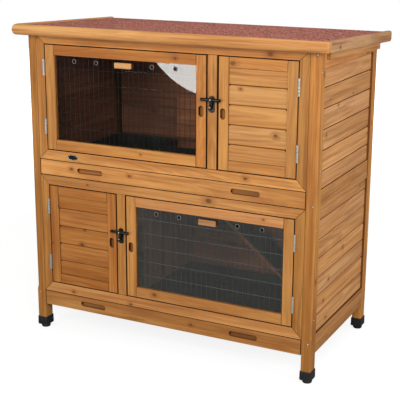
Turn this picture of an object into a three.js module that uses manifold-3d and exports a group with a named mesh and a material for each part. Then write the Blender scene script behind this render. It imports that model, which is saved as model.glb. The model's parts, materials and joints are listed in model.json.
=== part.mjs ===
// Two-storey wooden rabbit hutch with pull-out trays, windowed run doors and an inside ramp.
// Millimetres, +Z up, front faces -Y. The origin is on the floor, in the middle of the roof's plan.

import * as THREE from "three";
import { mergeVertices } from "three/addons/utils/BufferGeometryUtils.js";
import Module from "manifold-3d";

const wasm = await Module();
wasm.setup();

// ---------------------------------------------------------------- driving dimensions

const BODY_WIDTH = 1085; // outside of the left posts to outside of the right posts
const BODY_DEPTH = 566; // front face of the front posts to rear face of the rear posts
const ROOF_OVERHANG_SIDE = 38;
const ROOF_OVERHANG_FRONT = 40;
const ROOF_OVERHANG_REAR = 42;
const ROOF_DEPTH = ROOF_OVERHANG_FRONT + BODY_DEPTH + ROOF_OVERHANG_REAR;
const ROOF_TRIM_BOTTOM = 1094.6; // height of the front trim's lower edge
const ROOF_SLOPE = THREE.MathUtils.degToRad(2.1); // falls towards the back
const GAP = 0.3; // between pieces that touch
const MARGIN = 1; // how far a cutting block runs past what it cuts
const ROOF_CLEARANCE = 1; // between the walls and the roof deck

const POST_X = 34;
const POST_Y = 40;
const POST_FOOT = 12.3;
const POST_CHAMFER = 5;
const CHAMFER_START = 168;

const FRAME_THICKNESS = 28;
const DOOR_MEMBER = 35.5; // face width of the door stiles and rails
const DOOR_THICKNESS = 18;
const DOOR_GAP = 2;
const BACK_THICKNESS = 6;

// Heights of the two storeys: the drawer, then the mitred frame above it.
const STOREYS = {
  lower: { drawer: [100, 153.6], frame: [155, 597.6], opening: [192, 562.6], mullion: [352, 386] },
  upper: { drawer: [599.4, 653.6], frame: [655, 1109], opening: [691, 1065.5], mullion: [702, 737] },
};

// Positions are given from the outside of the left posts and from the front face of the posts.
const fromLeft = (v) => v - BODY_WIDTH / 2;
const fromFront = (v) => v - ROOF_DEPTH / 2 + ROOF_OVERHANG_FRONT;

// ---------------------------------------------------------------- materials

const paint = (color, roughness, metalness = 0) =>
  new THREE.MeshStandardMaterial({ color, roughness, metalness });

const MATERIALS = {
  wood: paint(0xc68a4c, 0.6),
  paleWood: paint(0xd79a55, 0.58),
  plywood: paint(0xa9713f, 0.75),
  felt: paint(0x8c4238, 0.95),
  rampFelt: paint(0x6b4a33, 0.9),
  tray: paint(0x2a2c2b, 0.5),
  rubber: paint(0x1c1c1c, 0.7),
  wire: paint(0x9a9c98, 0.4, 0.9),
  acrylic: paint(0xdfe6e6, 0.1),
  latch: paint(0x181818, 0.3, 0.7),
  nickel: paint(0xc9c7c0, 0.3, 1),
};

// ---------------------------------------------------------------- geometry helpers

const hutch = new THREE.Group();

function toManifold(geometry) {
  const bare = geometry.clone();
  bare.deleteAttribute("normal");
  bare.deleteAttribute("uv");
  const merged = mergeVertices(bare, 1e-3);
  return new wasm.Manifold(new wasm.Mesh({
    numProp: 3,
    vertProperties: new Float32Array(merged.attributes.position.array),
    triVerts: new Uint32Array(merged.index.array),
  }));
}

function toGeometry(manifold) {
  const mesh = manifold.getMesh();
  const geometry = new THREE.BufferGeometry();
  geometry.setAttribute("position", new THREE.BufferAttribute(mesh.vertProperties, 3));
  geometry.setIndex(new THREE.BufferAttribute(mesh.triVerts, 1));
  geometry.computeVertexNormals();
  return geometry;
}

// Joins the first list of geometries and cuts the second list out of it.
function carve(solids, cuts = []) {
  let result = toManifold(solids[0]);
  for (const solid of solids.slice(1)) result = result.add(toManifold(solid));
  for (const cut of cuts) result = result.subtract(toManifold(cut));
  return toGeometry(result);
}

// A box given by its two corners, in hutch coordinates: x from the left, y from the front, z up.
function block([x0, x1], [y0, y1], [z0, z1]) {
  const geometry = new THREE.BoxGeometry(x1 - x0, y1 - y0, z1 - z0);
  geometry.translate(fromLeft((x0 + x1) / 2), fromFront((y0 + y1) / 2), (z0 + z1) / 2);
  return geometry;
}

// A prism with its outline in the XZ plane, from depth y0 to y1.
function frontPrism(shape, [y0, y1], curveSegments = 6) {
  const geometry = new THREE.ExtrudeGeometry(shape, { depth: y1 - y0, bevelEnabled: false, curveSegments });
  geometry.rotateX(Math.PI / 2); // the extrusion now runs towards -Y
  geometry.translate(0, fromFront(y1), 0);
  return geometry;
}

// A prism with its outline in the YZ plane, given from the front, from x0 to x1.
function sidePrism(outline, [x0, x1]) {
  const shape = new THREE.Shape(outline.map(([y, z]) => new THREE.Vector2(fromFront(y), z)));
  const geometry = new THREE.ExtrudeGeometry(shape, { depth: x1 - x0, bevelEnabled: false });
  geometry.rotateY(Math.PI / 2);
  geometry.rotateX(Math.PI / 2); // shape X is now Y and shape Y is now Z
  geometry.translate(fromLeft(x0), 0, 0);
  return geometry;
}

function rectangle([x0, x1], [z0, z1]) {
  return new THREE.Shape([
    new THREE.Vector2(x0, z0), new THREE.Vector2(x1, z0),
    new THREE.Vector2(x1, z1), new THREE.Vector2(x0, z1),
  ]);
}

// A rectangle with rounded corners, centred on (x, z).
function roundedRectangle(x, z, width, height, r) {
  const shape = new THREE.Shape();
  const dx = width / 2 - r;
  const dz = height / 2 - r;
  const quarter = Math.PI / 2;
  shape.absarc(x + dx, z + dz, r, 0, quarter);
  shape.absarc(x - dx, z + dz, r, quarter, 2 * quarter);
  shape.absarc(x - dx, z - dz, r, 2 * quarter, 3 * quarter);
  shape.absarc(x + dx, z - dz, r, 3 * quarter, 4 * quarter);
  return shape;
}

// A slot with round ends.
function obround(x, z, width, height) {
  return roundedRectangle(x, z, width, height, Math.min(width, height) / 2);
}

// A cylinder along X, Y or Z about a point in hutch coordinates.
function rod(axis, radius, length, [x, y, z], segments = 12) {
  const geometry = new THREE.CylinderGeometry(radius, radius, length, segments);
  if (axis === "x") geometry.rotateZ(Math.PI / 2);
  if (axis === "z") geometry.rotateX(Math.PI / 2);
  geometry.translate(fromLeft(x), fromFront(y), z);
  return geometry;
}

function addPiece(name, geometry, material, parent = hutch) {
  const mesh = new THREE.Mesh(geometry, material);
  mesh.name = name;
  parent.add(mesh);
  return mesh;
}

// Height of the underside of the roof deck at a distance from the front.
const DECK_UNDERSIDE = 20; // above the lower edge of the front trim, square to the roof
function deckHeight(y) {
  return ROOF_TRIM_BOTTOM + DECK_UNDERSIDE - Math.tan(ROOF_SLOPE) * (y + ROOF_OVERHANG_FRONT);
}

// ---------------------------------------------------------------- posts and feet

const CAP_WALL = 3;
const CAP_TOP = 45;
const CAP_SLEEVE_BOTTOM = 8;
const GLIDE_HEIGHT = 10;
const GLIDE_RADIUS = 17;
const GLIDE_FACE_RADIUS = 13;

function addPost(side, end) {
  const x = side === "left" ? [0, POST_X] : [BODY_WIDTH - POST_X, BODY_WIDTH];
  const y = end === "front" ? [0, POST_Y] : [BODY_DEPTH - POST_Y, BODY_DEPTH];
  const top = deckHeight(y[1]) - ROOF_CLEARANCE;
  const body = block(x, y, [POST_FOOT, top]);
  const cuts = end === "front" ? [chamferCut(side, top)] : [];
  addPiece(`post_${end}_${side}`, carve([body], cuts), MATERIALS.wood);
}

// The front posts' outer corner is chamfered, and the chamfer stops at the bottom rail.
function chamferCut(side, top) {
  const corner = side === "left" ? 0 : BODY_WIDTH;
  const size = POST_CHAMFER * Math.SQRT2;
  const geometry = new THREE.BoxGeometry(size, size, top - CHAMFER_START + MARGIN);
  geometry.rotateZ(Math.PI / 4);
  geometry.translate(fromLeft(corner), fromFront(0), (CHAMFER_START + top + MARGIN) / 2);
  return geometry;
}

function addFootCap(side, end) {
  const x = side === "left" ? POST_X / 2 : BODY_WIDTH - POST_X / 2;
  const y = end === "front" ? POST_Y / 2 : BODY_DEPTH - POST_Y / 2;
  const halfX = POST_X / 2 + CAP_WALL + GAP;
  const halfY = POST_Y / 2 + CAP_WALL + GAP;
  const sleeve = block([x - halfX, x + halfX], [y - halfY, y + halfY], [CAP_SLEEVE_BOTTOM, CAP_TOP]);
  const glide = new THREE.CylinderGeometry(GLIDE_RADIUS, GLIDE_FACE_RADIUS, GLIDE_HEIGHT, 20);
  glide.rotateX(Math.PI / 2);
  glide.translate(fromLeft(x), fromFront(y), GLIDE_HEIGHT / 2);
  const pocketX = POST_X / 2 + GAP;
  const pocketY = POST_Y / 2 + GAP;
  const pocket = block(
    [x - pocketX, x + pocketX], [y - pocketY, y + pocketY], [POST_FOOT - GAP, CAP_TOP + MARGIN]);
  addPiece(`foot_cap_${end}_${side}`, carve([sleeve, glide], [pocket]), MATERIALS.rubber);
}

for (const side of ["left", "right"]) {
  for (const end of ["front", "rear"]) {
    addPost(side, end);
    addFootCap(side, end);
  }
}

// ---------------------------------------------------------------- fixed front frames

const FRAME_LEFT = POST_X + GAP;
const FRAME_RIGHT = BODY_WIDTH - POST_X - GAP;
const OPENING_LEFT = 69;
const OPENING_RIGHT = BODY_WIDTH - OPENING_LEFT;

function addFrontFrame(level) {
  const { frame, opening, mullion } = STOREYS[level];
  const body = block([FRAME_LEFT, FRAME_RIGHT], [0, FRAME_THICKNESS], frame);
  const through = [-MARGIN, FRAME_THICKNESS + MARGIN];
  const holes = [
    block([OPENING_LEFT, mullion[0]], through, opening),
    block([mullion[1], OPENING_RIGHT], through, opening),
  ];
  addPiece(`${level}_front_frame`, carve([body], holes), MATERIALS.wood);
}

addFrontFrame("lower");
addFrontFrame("upper");

// ---------------------------------------------------------------- side walls

const SIDE_Y = [POST_Y + GAP, BODY_DEPTH - POST_Y - GAP];
const RAIL_THICKNESS = 18;
const BOARD_RECESS = 8;
const BOARD_THICKNESS = 10;
const MID_RAIL_RECESS = 3;
const LEDGE_REACH = 60; // how far in the tray ledges stand
const LEDGE_THICKNESS = 9;
const SEAM_DEPTH = 3;
const SIDE_RAILS = { bottom: [100, 168], mid: [588, 655], topBottom: 1041 };
const SIDE_BOARDS = {
  lower: { firstSeam: 229.3, pitch: 64.4, count: 6 },
  upper: { firstSeam: 713, pitch: 66.8, count: 5 },
};

// Mirrors a span measured from the outside of the left wall onto either side.
function sideSpan(side, [a, b]) {
  return side === "left" ? [a, b] : [BODY_WIDTH - b, BODY_WIDTH - a];
}

function ledgedRail(side, recess, rail, ledgeBottom) {
  const web = block(sideSpan(side, [recess, RAIL_THICKNESS]), SIDE_Y, rail);
  const ledge = block(
    sideSpan(side, [RAIL_THICKNESS - MARGIN, LEDGE_REACH]), SIDE_Y,
    [ledgeBottom, ledgeBottom + LEDGE_THICKNESS]);
  return carve([web, ledge]);
}

function topRail(side) {
  const outline = [
    [SIDE_Y[0], SIDE_RAILS.topBottom], [SIDE_Y[1], SIDE_RAILS.topBottom],
    [SIDE_Y[1], deckHeight(SIDE_Y[1]) - ROOF_CLEARANCE],
    [SIDE_Y[0], deckHeight(SIDE_Y[0]) - ROOF_CLEARANCE],
  ];
  return sidePrism(outline, sideSpan(side, [0, RAIL_THICKNESS]));
}

// A board wall whose boards meet in V grooves on the outer face.
function boardWall(side, [z0, z1], { firstSeam, pitch, count }) {
  const x = sideSpan(side, [BOARD_RECESS, BOARD_RECESS + BOARD_THICKNESS]);
  const faceX = side === "left" ? BOARD_RECESS : BODY_WIDTH - BOARD_RECESS;
  const grooves = [];
  for (let i = 0; i < count; i++) {
    const size = SEAM_DEPTH * Math.SQRT2;
    const groove = new THREE.BoxGeometry(size, SIDE_Y[1] - SIDE_Y[0] + 2 * MARGIN, size);
    groove.rotateY(Math.PI / 4);
    groove.translate(fromLeft(faceX), fromFront((SIDE_Y[0] + SIDE_Y[1]) / 2), firstSeam + i * pitch);
    grooves.push(groove);
  }
  return carve([block(x, SIDE_Y, [z0, z1])], grooves);
}

for (const side of ["left", "right"]) {
  const { bottom, mid, topBottom } = SIDE_RAILS;
  addPiece(`${side}_bottom_rail`, ledgedRail(side, 0, bottom, bottom[0]), MATERIALS.wood);
  addPiece(`${side}_lower_boards`,
    boardWall(side, [bottom[1] + GAP, mid[0] - GAP], SIDE_BOARDS.lower), MATERIALS.paleWood);
  addPiece(`${side}_mid_rail`,
    ledgedRail(side, MID_RAIL_RECESS, mid, STOREYS.upper.drawer[0]), MATERIALS.wood);
  addPiece(`${side}_upper_boards`,
    boardWall(side, [mid[1] + GAP, topBottom - GAP], SIDE_BOARDS.upper), MATERIALS.paleWood);
  addPiece(`${side}_top_rail`, topRail(side), MATERIALS.wood);
}

// ---------------------------------------------------------------- back

const BACK_Y = [BODY_DEPTH + GAP, BODY_DEPTH + GAP + BACK_THICKNESS];
const BACK_SPLIT = 575;
const BACK_BOTTOM = 101;
const BACK_BOARDS = { lower: 7, upper: 8 };
const BACK_GROOVE = 1.5;
const BACK_INSET = 2;

function backPanel([z0, z1], boards) {
  const x = [BACK_INSET, BODY_WIDTH - BACK_INSET];
  const pitch = (z1 - z0) / boards;
  const grooves = [];
  for (let i = 1; i < boards; i++) {
    const size = BACK_GROOVE * Math.SQRT2;
    const groove = new THREE.BoxGeometry(BODY_WIDTH, size, size);
    groove.rotateX(Math.PI / 4);
    groove.translate(0, fromFront(BACK_Y[1]), z0 + i * pitch);
    grooves.push(groove);
  }
  return carve([block(x, BACK_Y, [z0, z1])], grooves);
}

addPiece("lower_back_panel",
  backPanel([BACK_BOTTOM, BACK_SPLIT - GAP], BACK_BOARDS.lower), MATERIALS.plywood);
addPiece("upper_back_panel",
  backPanel([BACK_SPLIT, deckHeight(BACK_Y[1]) - ROOF_CLEARANCE], BACK_BOARDS.upper), MATERIALS.plywood);

// ---------------------------------------------------------------- ramp

const RAMP = {
  y: [413, 563], top: [305, 621], bottom: [868, 156], thickness: 12,
};

// A sloping board along X, cut upright at its top end and level at its foot.
function rampBoard() {
  const [x0, z0] = RAMP.top;
  const [x1, z1] = RAMP.bottom;
  const angle = Math.atan2(z0 - z1, x1 - x0);
  const outline = new THREE.Shape([
    new THREE.Vector2(fromLeft(x0), z0),
    new THREE.Vector2(fromLeft(x0), z0 - RAMP.thickness / Math.cos(angle)),
    new THREE.Vector2(fromLeft(x1 - RAMP.thickness / Math.sin(angle)), z1),
    new THREE.Vector2(fromLeft(x1), z1),
  ]);
  return frontPrism(outline, RAMP.y);
}

addPiece("ramp", rampBoard(), MATERIALS.rampFelt);

// ---------------------------------------------------------------- partitions with doorways

const PARTITION_Y = [FRAME_THICKNESS + GAP, BODY_DEPTH - 1];
const PARTITIONS = {
  lower: { x: [358, 368], z: [158, 597] },
  upper: { x: [714, 724], z: [660, 1088] },
};
const DOORWAY = { depth: 168, height: 262 }; // in the lower front corner
const RAMP_NOTCH = { y: [RAMP.y[0] - 5, BODY_DEPTH], z: [535, 600] };

function addPartition(level, notches) {
  const { x, z } = PARTITIONS[level];
  const through = [x[0] - MARGIN, x[1] + MARGIN];
  const doorway = block(
    through, [PARTITION_Y[0] - MARGIN, DOORWAY.depth], [z[0] - MARGIN, z[0] + DOORWAY.height]);
  const cuts = notches.map((notch) => block(through, notch.y, notch.z));
  addPiece(`${level}_partition`, carve([block(x, PARTITION_Y, z)], [doorway, ...cuts]), MATERIALS.plywood);
}

addPartition("lower", [RAMP_NOTCH]);
addPartition("upper", []);

// ---------------------------------------------------------------- ramp hatch

const HATCH = { x: [292, 583], y: [556, 565], z: [657.5, 812.5] };

addPiece("ramp_hatch", block(HATCH.x, HATCH.y, HATCH.z), MATERIALS.plywood);

// ---------------------------------------------------------------- drawers

const DRAWER_FRONT_X = [36, BODY_WIDTH - 36];
const DRAWER_FRONT_THICKNESS = 18;
const DRAWER_PULL_CENTRES = [243, 840];
const DRAWER_PULL = { width: 104, height: 18, depth: 12 };
const TRAY_X = [38, BODY_WIDTH - 38];
const TRAY_Y = [DRAWER_FRONT_THICKNESS + GAP, 546];
const TRAY_WALL = 3;
const TRAY_TOP_CLEARANCE = 0.8; // below the top of the drawer front
const TRAY_NOTCH = { x: [300, 575], y: 405 };

function addDrawerFront(level) {
  const z = STOREYS[level].drawer;
  const body = block(DRAWER_FRONT_X, [0, DRAWER_FRONT_THICKNESS], z);
  const centreZ = (z[0] + z[1]) / 2;
  const pulls = DRAWER_PULL_CENTRES.map((x) => frontPrism(
    obround(fromLeft(x), centreZ, DRAWER_PULL.width, DRAWER_PULL.height), [-MARGIN, DRAWER_PULL.depth]));
  addPiece(`${level}_drawer_front`, carve([body], pulls), MATERIALS.wood);
}

// The upper tray is notched at the back, where the ramp comes up through it.
function addTray(level, notched) {
  const z0 = STOREYS[level].drawer[0] + LEDGE_THICKNESS + GAP;
  const z1 = STOREYS[level].drawer[1] - TRAY_TOP_CLEARANCE;
  const w = TRAY_WALL;
  const shell = carve(
    [block(TRAY_X, TRAY_Y, [z0, z1])],
    [block([TRAY_X[0] + w, TRAY_X[1] - w], [TRAY_Y[0] + w, TRAY_Y[1] - w], [z0 + w, z1 + MARGIN])]);
  const { x, y } = TRAY_NOTCH;
  const rim = block([x[0] - w, x[1] + w], [y - w, TRAY_Y[1]], [z0, z1]);
  const notch = block(x, [y, TRAY_Y[1] + MARGIN], [z0 - MARGIN, z1 + MARGIN]);
  addPiece(`${level}_tray`, notched ? carve([shell, rim], [notch]) : shell, MATERIALS.tray);
}

for (const level of ["lower", "upper"]) {
  addDrawerFront(level);
  addTray(level, level === "upper");
}

// ---------------------------------------------------------------- doors

const WINDOW_DOORS = {
  upper: { x: [71, 697], pull: [678.5, 880] },
  lower: { x: [390, 1014], pull: [406.5, 375.5] },
};
const PANEL_DOORS = {
  upper: { x: [742, 1014], pull: [757, 878], firstSeam: 783, pitch: 64.7, count: 4 },
  lower: { x: [71, 348], pull: [328.5, 380.5], firstSeam: 283, pitch: 65.8, count: 4 },
};
const FINGER_PULL = { width: 18, height: 36, depth: 13 };
const PANE = { y: [8, 10.6], side: 7, bottom: 5, top: 6 };
const GROOVE_SLACK = 0.5;
const PANE_LIFT = 8;
const VENT_RADIUS = 6.5;
const VENT_OFFSETS = [-197, -109, 109, 197];
const VENT_DROP = 18; // below the top of the window
const TAB = { width: 63, height: 19, thickness: 9, drop: 20 };
const WIRE = { size: 1.8, pitchX: 19.7, pitchZ: 54.6, overlap: 8 };
const MESH_Y = DOOR_THICKNESS + GAP;

function doorHeights(level) {
  const [z0, z1] = STOREYS[level].opening;
  return [z0 + DOOR_GAP, z1 - DOOR_GAP];
}

// The clear opening inside a door's stiles and rails.
function doorOpening(level, { x }) {
  const [z0, z1] = doorHeights(level);
  return { x: [x[0] + DOOR_MEMBER, x[1] - DOOR_MEMBER], z: [z0 + DOOR_MEMBER, z1 - DOOR_MEMBER] };
}

function fingerPull([x, z]) {
  return frontPrism(
    obround(fromLeft(x), z, FINGER_PULL.width, FINGER_PULL.height), [-MARGIN, FINGER_PULL.depth]);
}

function doorFrameGeometry(level, door, extraCuts) {
  const opening = doorOpening(level, door);
  const body = block(door.x, [0, DOOR_THICKNESS], doorHeights(level));
  const hole = block(opening.x, [-MARGIN, DOOR_THICKNESS + MARGIN], opening.z);
  return carve([body], [hole, fingerPull(door.pull), ...extraCuts]);
}

function addWindowDoor(level) {
  const door = WINDOW_DOORS[level];
  const { x, z } = doorOpening(level, door);
  const groove = block(
    [x[0] - PANE.side - GROOVE_SLACK, x[1] + PANE.side + GROOVE_SLACK],
    [PANE.y[0] - GROOVE_SLACK, PANE.y[1] + GROOVE_SLACK],
    [z[0] - PANE.bottom - GROOVE_SLACK, z[1] + PANE.top + PANE_LIFT + 2 * GROOVE_SLACK]);
  addPiece(`${level}_window_frame`, doorFrameGeometry(level, door, [groove]), MATERIALS.wood);
  addPiece(`${level}_window_mesh`, wireMesh(x, z), MATERIALS.wire);
  addPane(level, x, z);
}

function addPane(level, x, z) {
  const centre = (x[0] + x[1]) / 2;
  const outline = rectangle(
    [fromLeft(x[0] - PANE.side), fromLeft(x[1] + PANE.side)], [z[0] - PANE.bottom, z[1] + PANE.top]);
  for (const offset of VENT_OFFSETS) {
    const hole = new THREE.Path();
    hole.absarc(fromLeft(centre + offset), z[1] - VENT_DROP, VENT_RADIUS, 0, 2 * Math.PI, true);
    outline.holes.push(hole);
  }
  addPiece(`${level}_window_pane`, frontPrism(outline, PANE.y), MATERIALS.acrylic);
  const tabZ = z[1] - TAB.drop;
  const front = PANE.y[0] - GAP - TAB.thickness;
  addPiece(`${level}_window_tab`, block(
    [centre - TAB.width / 2, centre + TAB.width / 2], [front, PANE.y[0] - GAP],
    [tabZ - TAB.height / 2, tabZ + TAB.height / 2]), MATERIALS.paleWood);
}

// A welded mesh behind the door: one plate with a rectangular hole between each pair of wires.
function wireMesh(x, z) {
  const x0 = x[0] - WIRE.overlap;
  const x1 = x[1] + WIRE.overlap;
  const z0 = z[0] - WIRE.overlap;
  const z1 = z[1] + WIRE.overlap;
  const columns = Math.round((x1 - x0) / WIRE.pitchX);
  const rows = Math.round((z1 - z0) / WIRE.pitchZ);
  const stepX = (x1 - x0 - WIRE.size) / columns;
  const stepZ = (z1 - z0 - WIRE.size) / rows;
  const y = [MESH_Y, MESH_Y + WIRE.size];
  const holes = [];
  for (let i = 0; i < columns; i++) {
    for (let j = 0; j < rows; j++) {
      const left = x0 + WIRE.size + i * stepX;
      const low = z0 + WIRE.size + j * stepZ;
      holes.push(block(
        [left, left + stepX - WIRE.size], [y[0] - MARGIN, y[1] + MARGIN], [low, low + stepZ - WIRE.size]));
    }
  }
  return carve([block([x0, x1], y, [z0, z1])], holes);
}

const PANEL = { y: [4, 14], tongue: 6 };

function addPanelDoor(level) {
  const door = PANEL_DOORS[level];
  const { x, z } = doorOpening(level, door);
  const groove = block(
    [x[0] - PANEL.tongue - GAP, x[1] + PANEL.tongue + GAP], [PANEL.y[0] - GAP, PANEL.y[1] + GAP],
    [z[0] - PANEL.tongue - GAP, z[1] + PANEL.tongue + GAP]);
  addPiece(`${level}_panel_frame`, doorFrameGeometry(level, door, [groove]), MATERIALS.wood);
  const seams = [];
  for (let i = 0; i < door.count; i++) {
    const size = SEAM_DEPTH * Math.SQRT2;
    const seam = new THREE.BoxGeometry(x[1] - x[0] + 4 * PANEL.tongue, size, size);
    seam.rotateX(Math.PI / 4);
    seam.translate(fromLeft((x[0] + x[1]) / 2), fromFront(PANEL.y[0]), door.firstSeam + i * door.pitch);
    seams.push(seam);
  }
  const boards = block(
    [x[0] - PANEL.tongue, x[1] + PANEL.tongue], PANEL.y, [z[0] - PANEL.tongue, z[1] + PANEL.tongue]);
  addPiece(`${level}_panel_boards`, carve([boards], seams), MATERIALS.paleWood);
}

for (const level of ["lower", "upper"]) {
  addWindowDoor(level);
  addPanelDoor(level);
}

// ---------------------------------------------------------------- hinges

const HINGE = { height: 57, radius: 4, axisY: -4.4, leafThickness: 1, leafDepth: 16 };
const HINGE_HEIGHTS = { upper: [984, 775], lower: [483, 272] };
const HINGE_AXIS_X = { left: 67, right: BODY_WIDTH - 67 };

// The knuckle stands just in front of the frame and the leaf lies in the gap beside the door.
function hinge(side, z) {
  const axisX = HINGE_AXIS_X[side];
  const knuckle = rod("z", HINGE.radius, HINGE.height, [axisX, HINGE.axisY, z]);
  const inner = side === "left" ? OPENING_LEFT + GAP : OPENING_RIGHT - GAP - HINGE.leafThickness;
  const leaf = block(
    [inner, inner + HINGE.leafThickness], [HINGE.axisY, HINGE.leafDepth],
    [z - HINGE.height / 2, z + HINGE.height / 2]);
  return carve([knuckle, leaf]);
}

for (const level of ["lower", "upper"]) {
  for (const side of ["left", "right"]) {
    HINGE_HEIGHTS[level].forEach((z, i) => {
      addPiece(`${level}_${side}_hinge_${i + 1}`, hinge(side, z), MATERIALS.nickel);
    });
  }
}

// ---------------------------------------------------------------- turn latches

const LATCH_CENTRES = { upper: [719.5, 922.5], lower: [369, 428.5] };
const LATCH_PLATE = { width: 20, above: 12, below: 43, thickness: 2.6, cornerRadius: 8 };
const LATCH_BAR = { length: 74, radius: 5.2, y: -12 };
const LATCH_HUB = { radius: 7, proud: 1.5 }; // proud of the bar
const LATCH_LEVER = { radius: 4, drop: 30, lean: -5, forward: 2 };

function addLatch(level) {
  const [x, z] = LATCH_CENTRES[level];
  const { width, above, below, thickness, cornerRadius } = LATCH_PLATE;
  const outline = roundedRectangle(fromLeft(x), z + (above - below) / 2, width, above + below, cornerRadius);
  const plate = frontPrism(outline, [-GAP - thickness, -GAP]);
  addPiece(`${level}_latch_plate`, plate, MATERIALS.latch);

  const back = -2 * GAP - thickness;
  const front = LATCH_BAR.y - LATCH_BAR.radius - LATCH_HUB.proud;
  const bar = rod("x", LATCH_BAR.radius, LATCH_BAR.length, [x, LATCH_BAR.y, z]);
  const hub = rod("y", LATCH_HUB.radius, back - front, [x, (back + front) / 2, z], 16);
  const lever = new THREE.ExtrudeGeometry(
    roundSection(LATCH_LEVER.radius, 10), { steps: 8, extrudePath: leverPath(x, z), bevelEnabled: false });
  addPiece(`${level}_latch_handle`, carve([hub, bar, lever]), MATERIALS.latch);
}

function roundSection(radius, sides) {
  const points = [];
  for (let i = 0; i < sides; i++) {
    const angle = (2 * Math.PI * i) / sides;
    points.push(new THREE.Vector2(radius * Math.cos(angle), radius * Math.sin(angle)));
  }
  return new THREE.Shape(points);
}

function leverPath(x, z) {
  const point = (dx, y, dz) => new THREE.Vector3(fromLeft(x + dx), fromFront(y), z + dz);
  return new THREE.QuadraticBezierCurve3(
    point(0, LATCH_BAR.y, 0),
    point(LATCH_LEVER.lean * 0.3, LATCH_BAR.y, -LATCH_LEVER.drop * 0.5),
    point(LATCH_LEVER.lean, LATCH_BAR.y - LATCH_LEVER.forward, -LATCH_LEVER.drop));
}

addLatch("lower");
addLatch("upper");

// ---------------------------------------------------------------- badge

const BADGE = { x: 175.5, z: 672.5, width: 43, height: 20, thickness: 2.5 };

const badgeOutline = new THREE.Shape();
badgeOutline.absellipse(fromLeft(BADGE.x), BADGE.z, BADGE.width / 2, BADGE.height / 2, 0, 2 * Math.PI);
addPiece("badge", frontPrism(badgeOutline, [-GAP - BADGE.thickness, -GAP], 12), MATERIALS.latch);

// ---------------------------------------------------------------- roof

const TRIM = { thickness: 19, height: 36.4, cornerRadius: 10 };
const FASCIA = { thickness: 19, height: 37, cornerRadius: 9 };
const DECK_THICKNESS = 10;
const FELT_THICKNESS = 3;
const BATTEN = { thickness: 12, from: 90, to: 600, bottom: -25 };
const ROOF_LEFT = -ROOF_OVERHANG_SIDE;
const ROOF_RIGHT = BODY_WIDTH + ROOF_OVERHANG_SIDE;

// The roof is built level, with its front lower edge at the origin of its own tilted group.
const roof = new THREE.Group();
roof.position.set(0, -ROOF_DEPTH / 2, ROOF_TRIM_BOTTOM);
roof.rotation.x = -ROOF_SLOPE;
hutch.add(roof);

// Measured along the slope. The tilt carries each fascia's rounded upper corner back by LEAN_BACK.
const LEAN_BACK = Math.sin(ROOF_SLOPE) * (FASCIA.height - FASCIA.cornerRadius);
const ROOF_LENGTH = (ROOF_DEPTH - LEAN_BACK) / Math.cos(ROOF_SLOPE);
const BEHIND_TRIM = TRIM.thickness + GAP;

function roofBlock([x0, x1], [y0, y1], [z0, z1]) {
  const geometry = new THREE.BoxGeometry(x1 - x0, y1 - y0, z1 - z0);
  geometry.translate(fromLeft((x0 + x1) / 2), (y0 + y1) / 2, (z0 + z1) / 2);
  return geometry;
}

function frontTrim() {
  const outline = roundedRectangle(
    0, TRIM.height / 2, ROOF_RIGHT - ROOF_LEFT, TRIM.height, TRIM.cornerRadius);
  const geometry = new THREE.ExtrudeGeometry(
    outline, { depth: TRIM.thickness, bevelEnabled: false, curveSegments: 4 });
  geometry.rotateX(Math.PI / 2);
  geometry.translate(0, TRIM.thickness, 0);
  return geometry;
}

// A side fascia with its rear corners rounded.
function sideFascia(side) {
  const r = FASCIA.cornerRadius;
  const outline = new THREE.Shape();
  outline.moveTo(BEHIND_TRIM, 0);
  outline.absarc(ROOF_LENGTH - r, r, r, -Math.PI / 2, 0);
  outline.absarc(ROOF_LENGTH - r, FASCIA.height - r, r, 0, Math.PI / 2);
  outline.lineTo(BEHIND_TRIM, FASCIA.height);
  const geometry = new THREE.ExtrudeGeometry(
    outline, { depth: FASCIA.thickness, bevelEnabled: false, curveSegments: 4 });
  geometry.rotateY(Math.PI / 2);
  geometry.rotateX(Math.PI / 2);
  const x = side === "left" ? ROOF_LEFT : ROOF_RIGHT - FASCIA.thickness;
  geometry.translate(fromLeft(x), 0, 0);
  return geometry;
}

const DECK_X = [ROOF_LEFT + FASCIA.thickness + GAP, ROOF_RIGHT - FASCIA.thickness - GAP];
const DECK_Y = [BEHIND_TRIM, ROOF_LENGTH - 1];

function roofDeck() {
  const panel = roofBlock(DECK_X, DECK_Y, [DECK_UNDERSIDE, DECK_UNDERSIDE + DECK_THICKNESS]);
  const battens = ["left", "right"].map((side) => roofBlock(
    sideSpan(side, [-GAP - BATTEN.thickness, -GAP]), [BATTEN.from, BATTEN.to],
    [BATTEN.bottom, DECK_UNDERSIDE + MARGIN]));
  return carve([panel, ...battens]);
}

const FELT_BOTTOM = DECK_UNDERSIDE + DECK_THICKNESS + GAP;

addPiece("roof_deck", roofDeck(), MATERIALS.plywood, roof);
addPiece("roof_felt",
  roofBlock(DECK_X, DECK_Y, [FELT_BOTTOM, FELT_BOTTOM + FELT_THICKNESS]), MATERIALS.felt, roof);
addPiece("roof_front_trim", frontTrim(), MATERIALS.paleWood, roof);
addPiece("roof_left_fascia", sideFascia("left"), MATERIALS.paleWood, roof);
addPiece("roof_right_fascia", sideFascia("right"), MATERIALS.paleWood, roof);

export default hutch;
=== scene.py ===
import contextlib
import json
import math
import random

import bmesh
import bpy
from mathutils import Matrix, Vector

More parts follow.
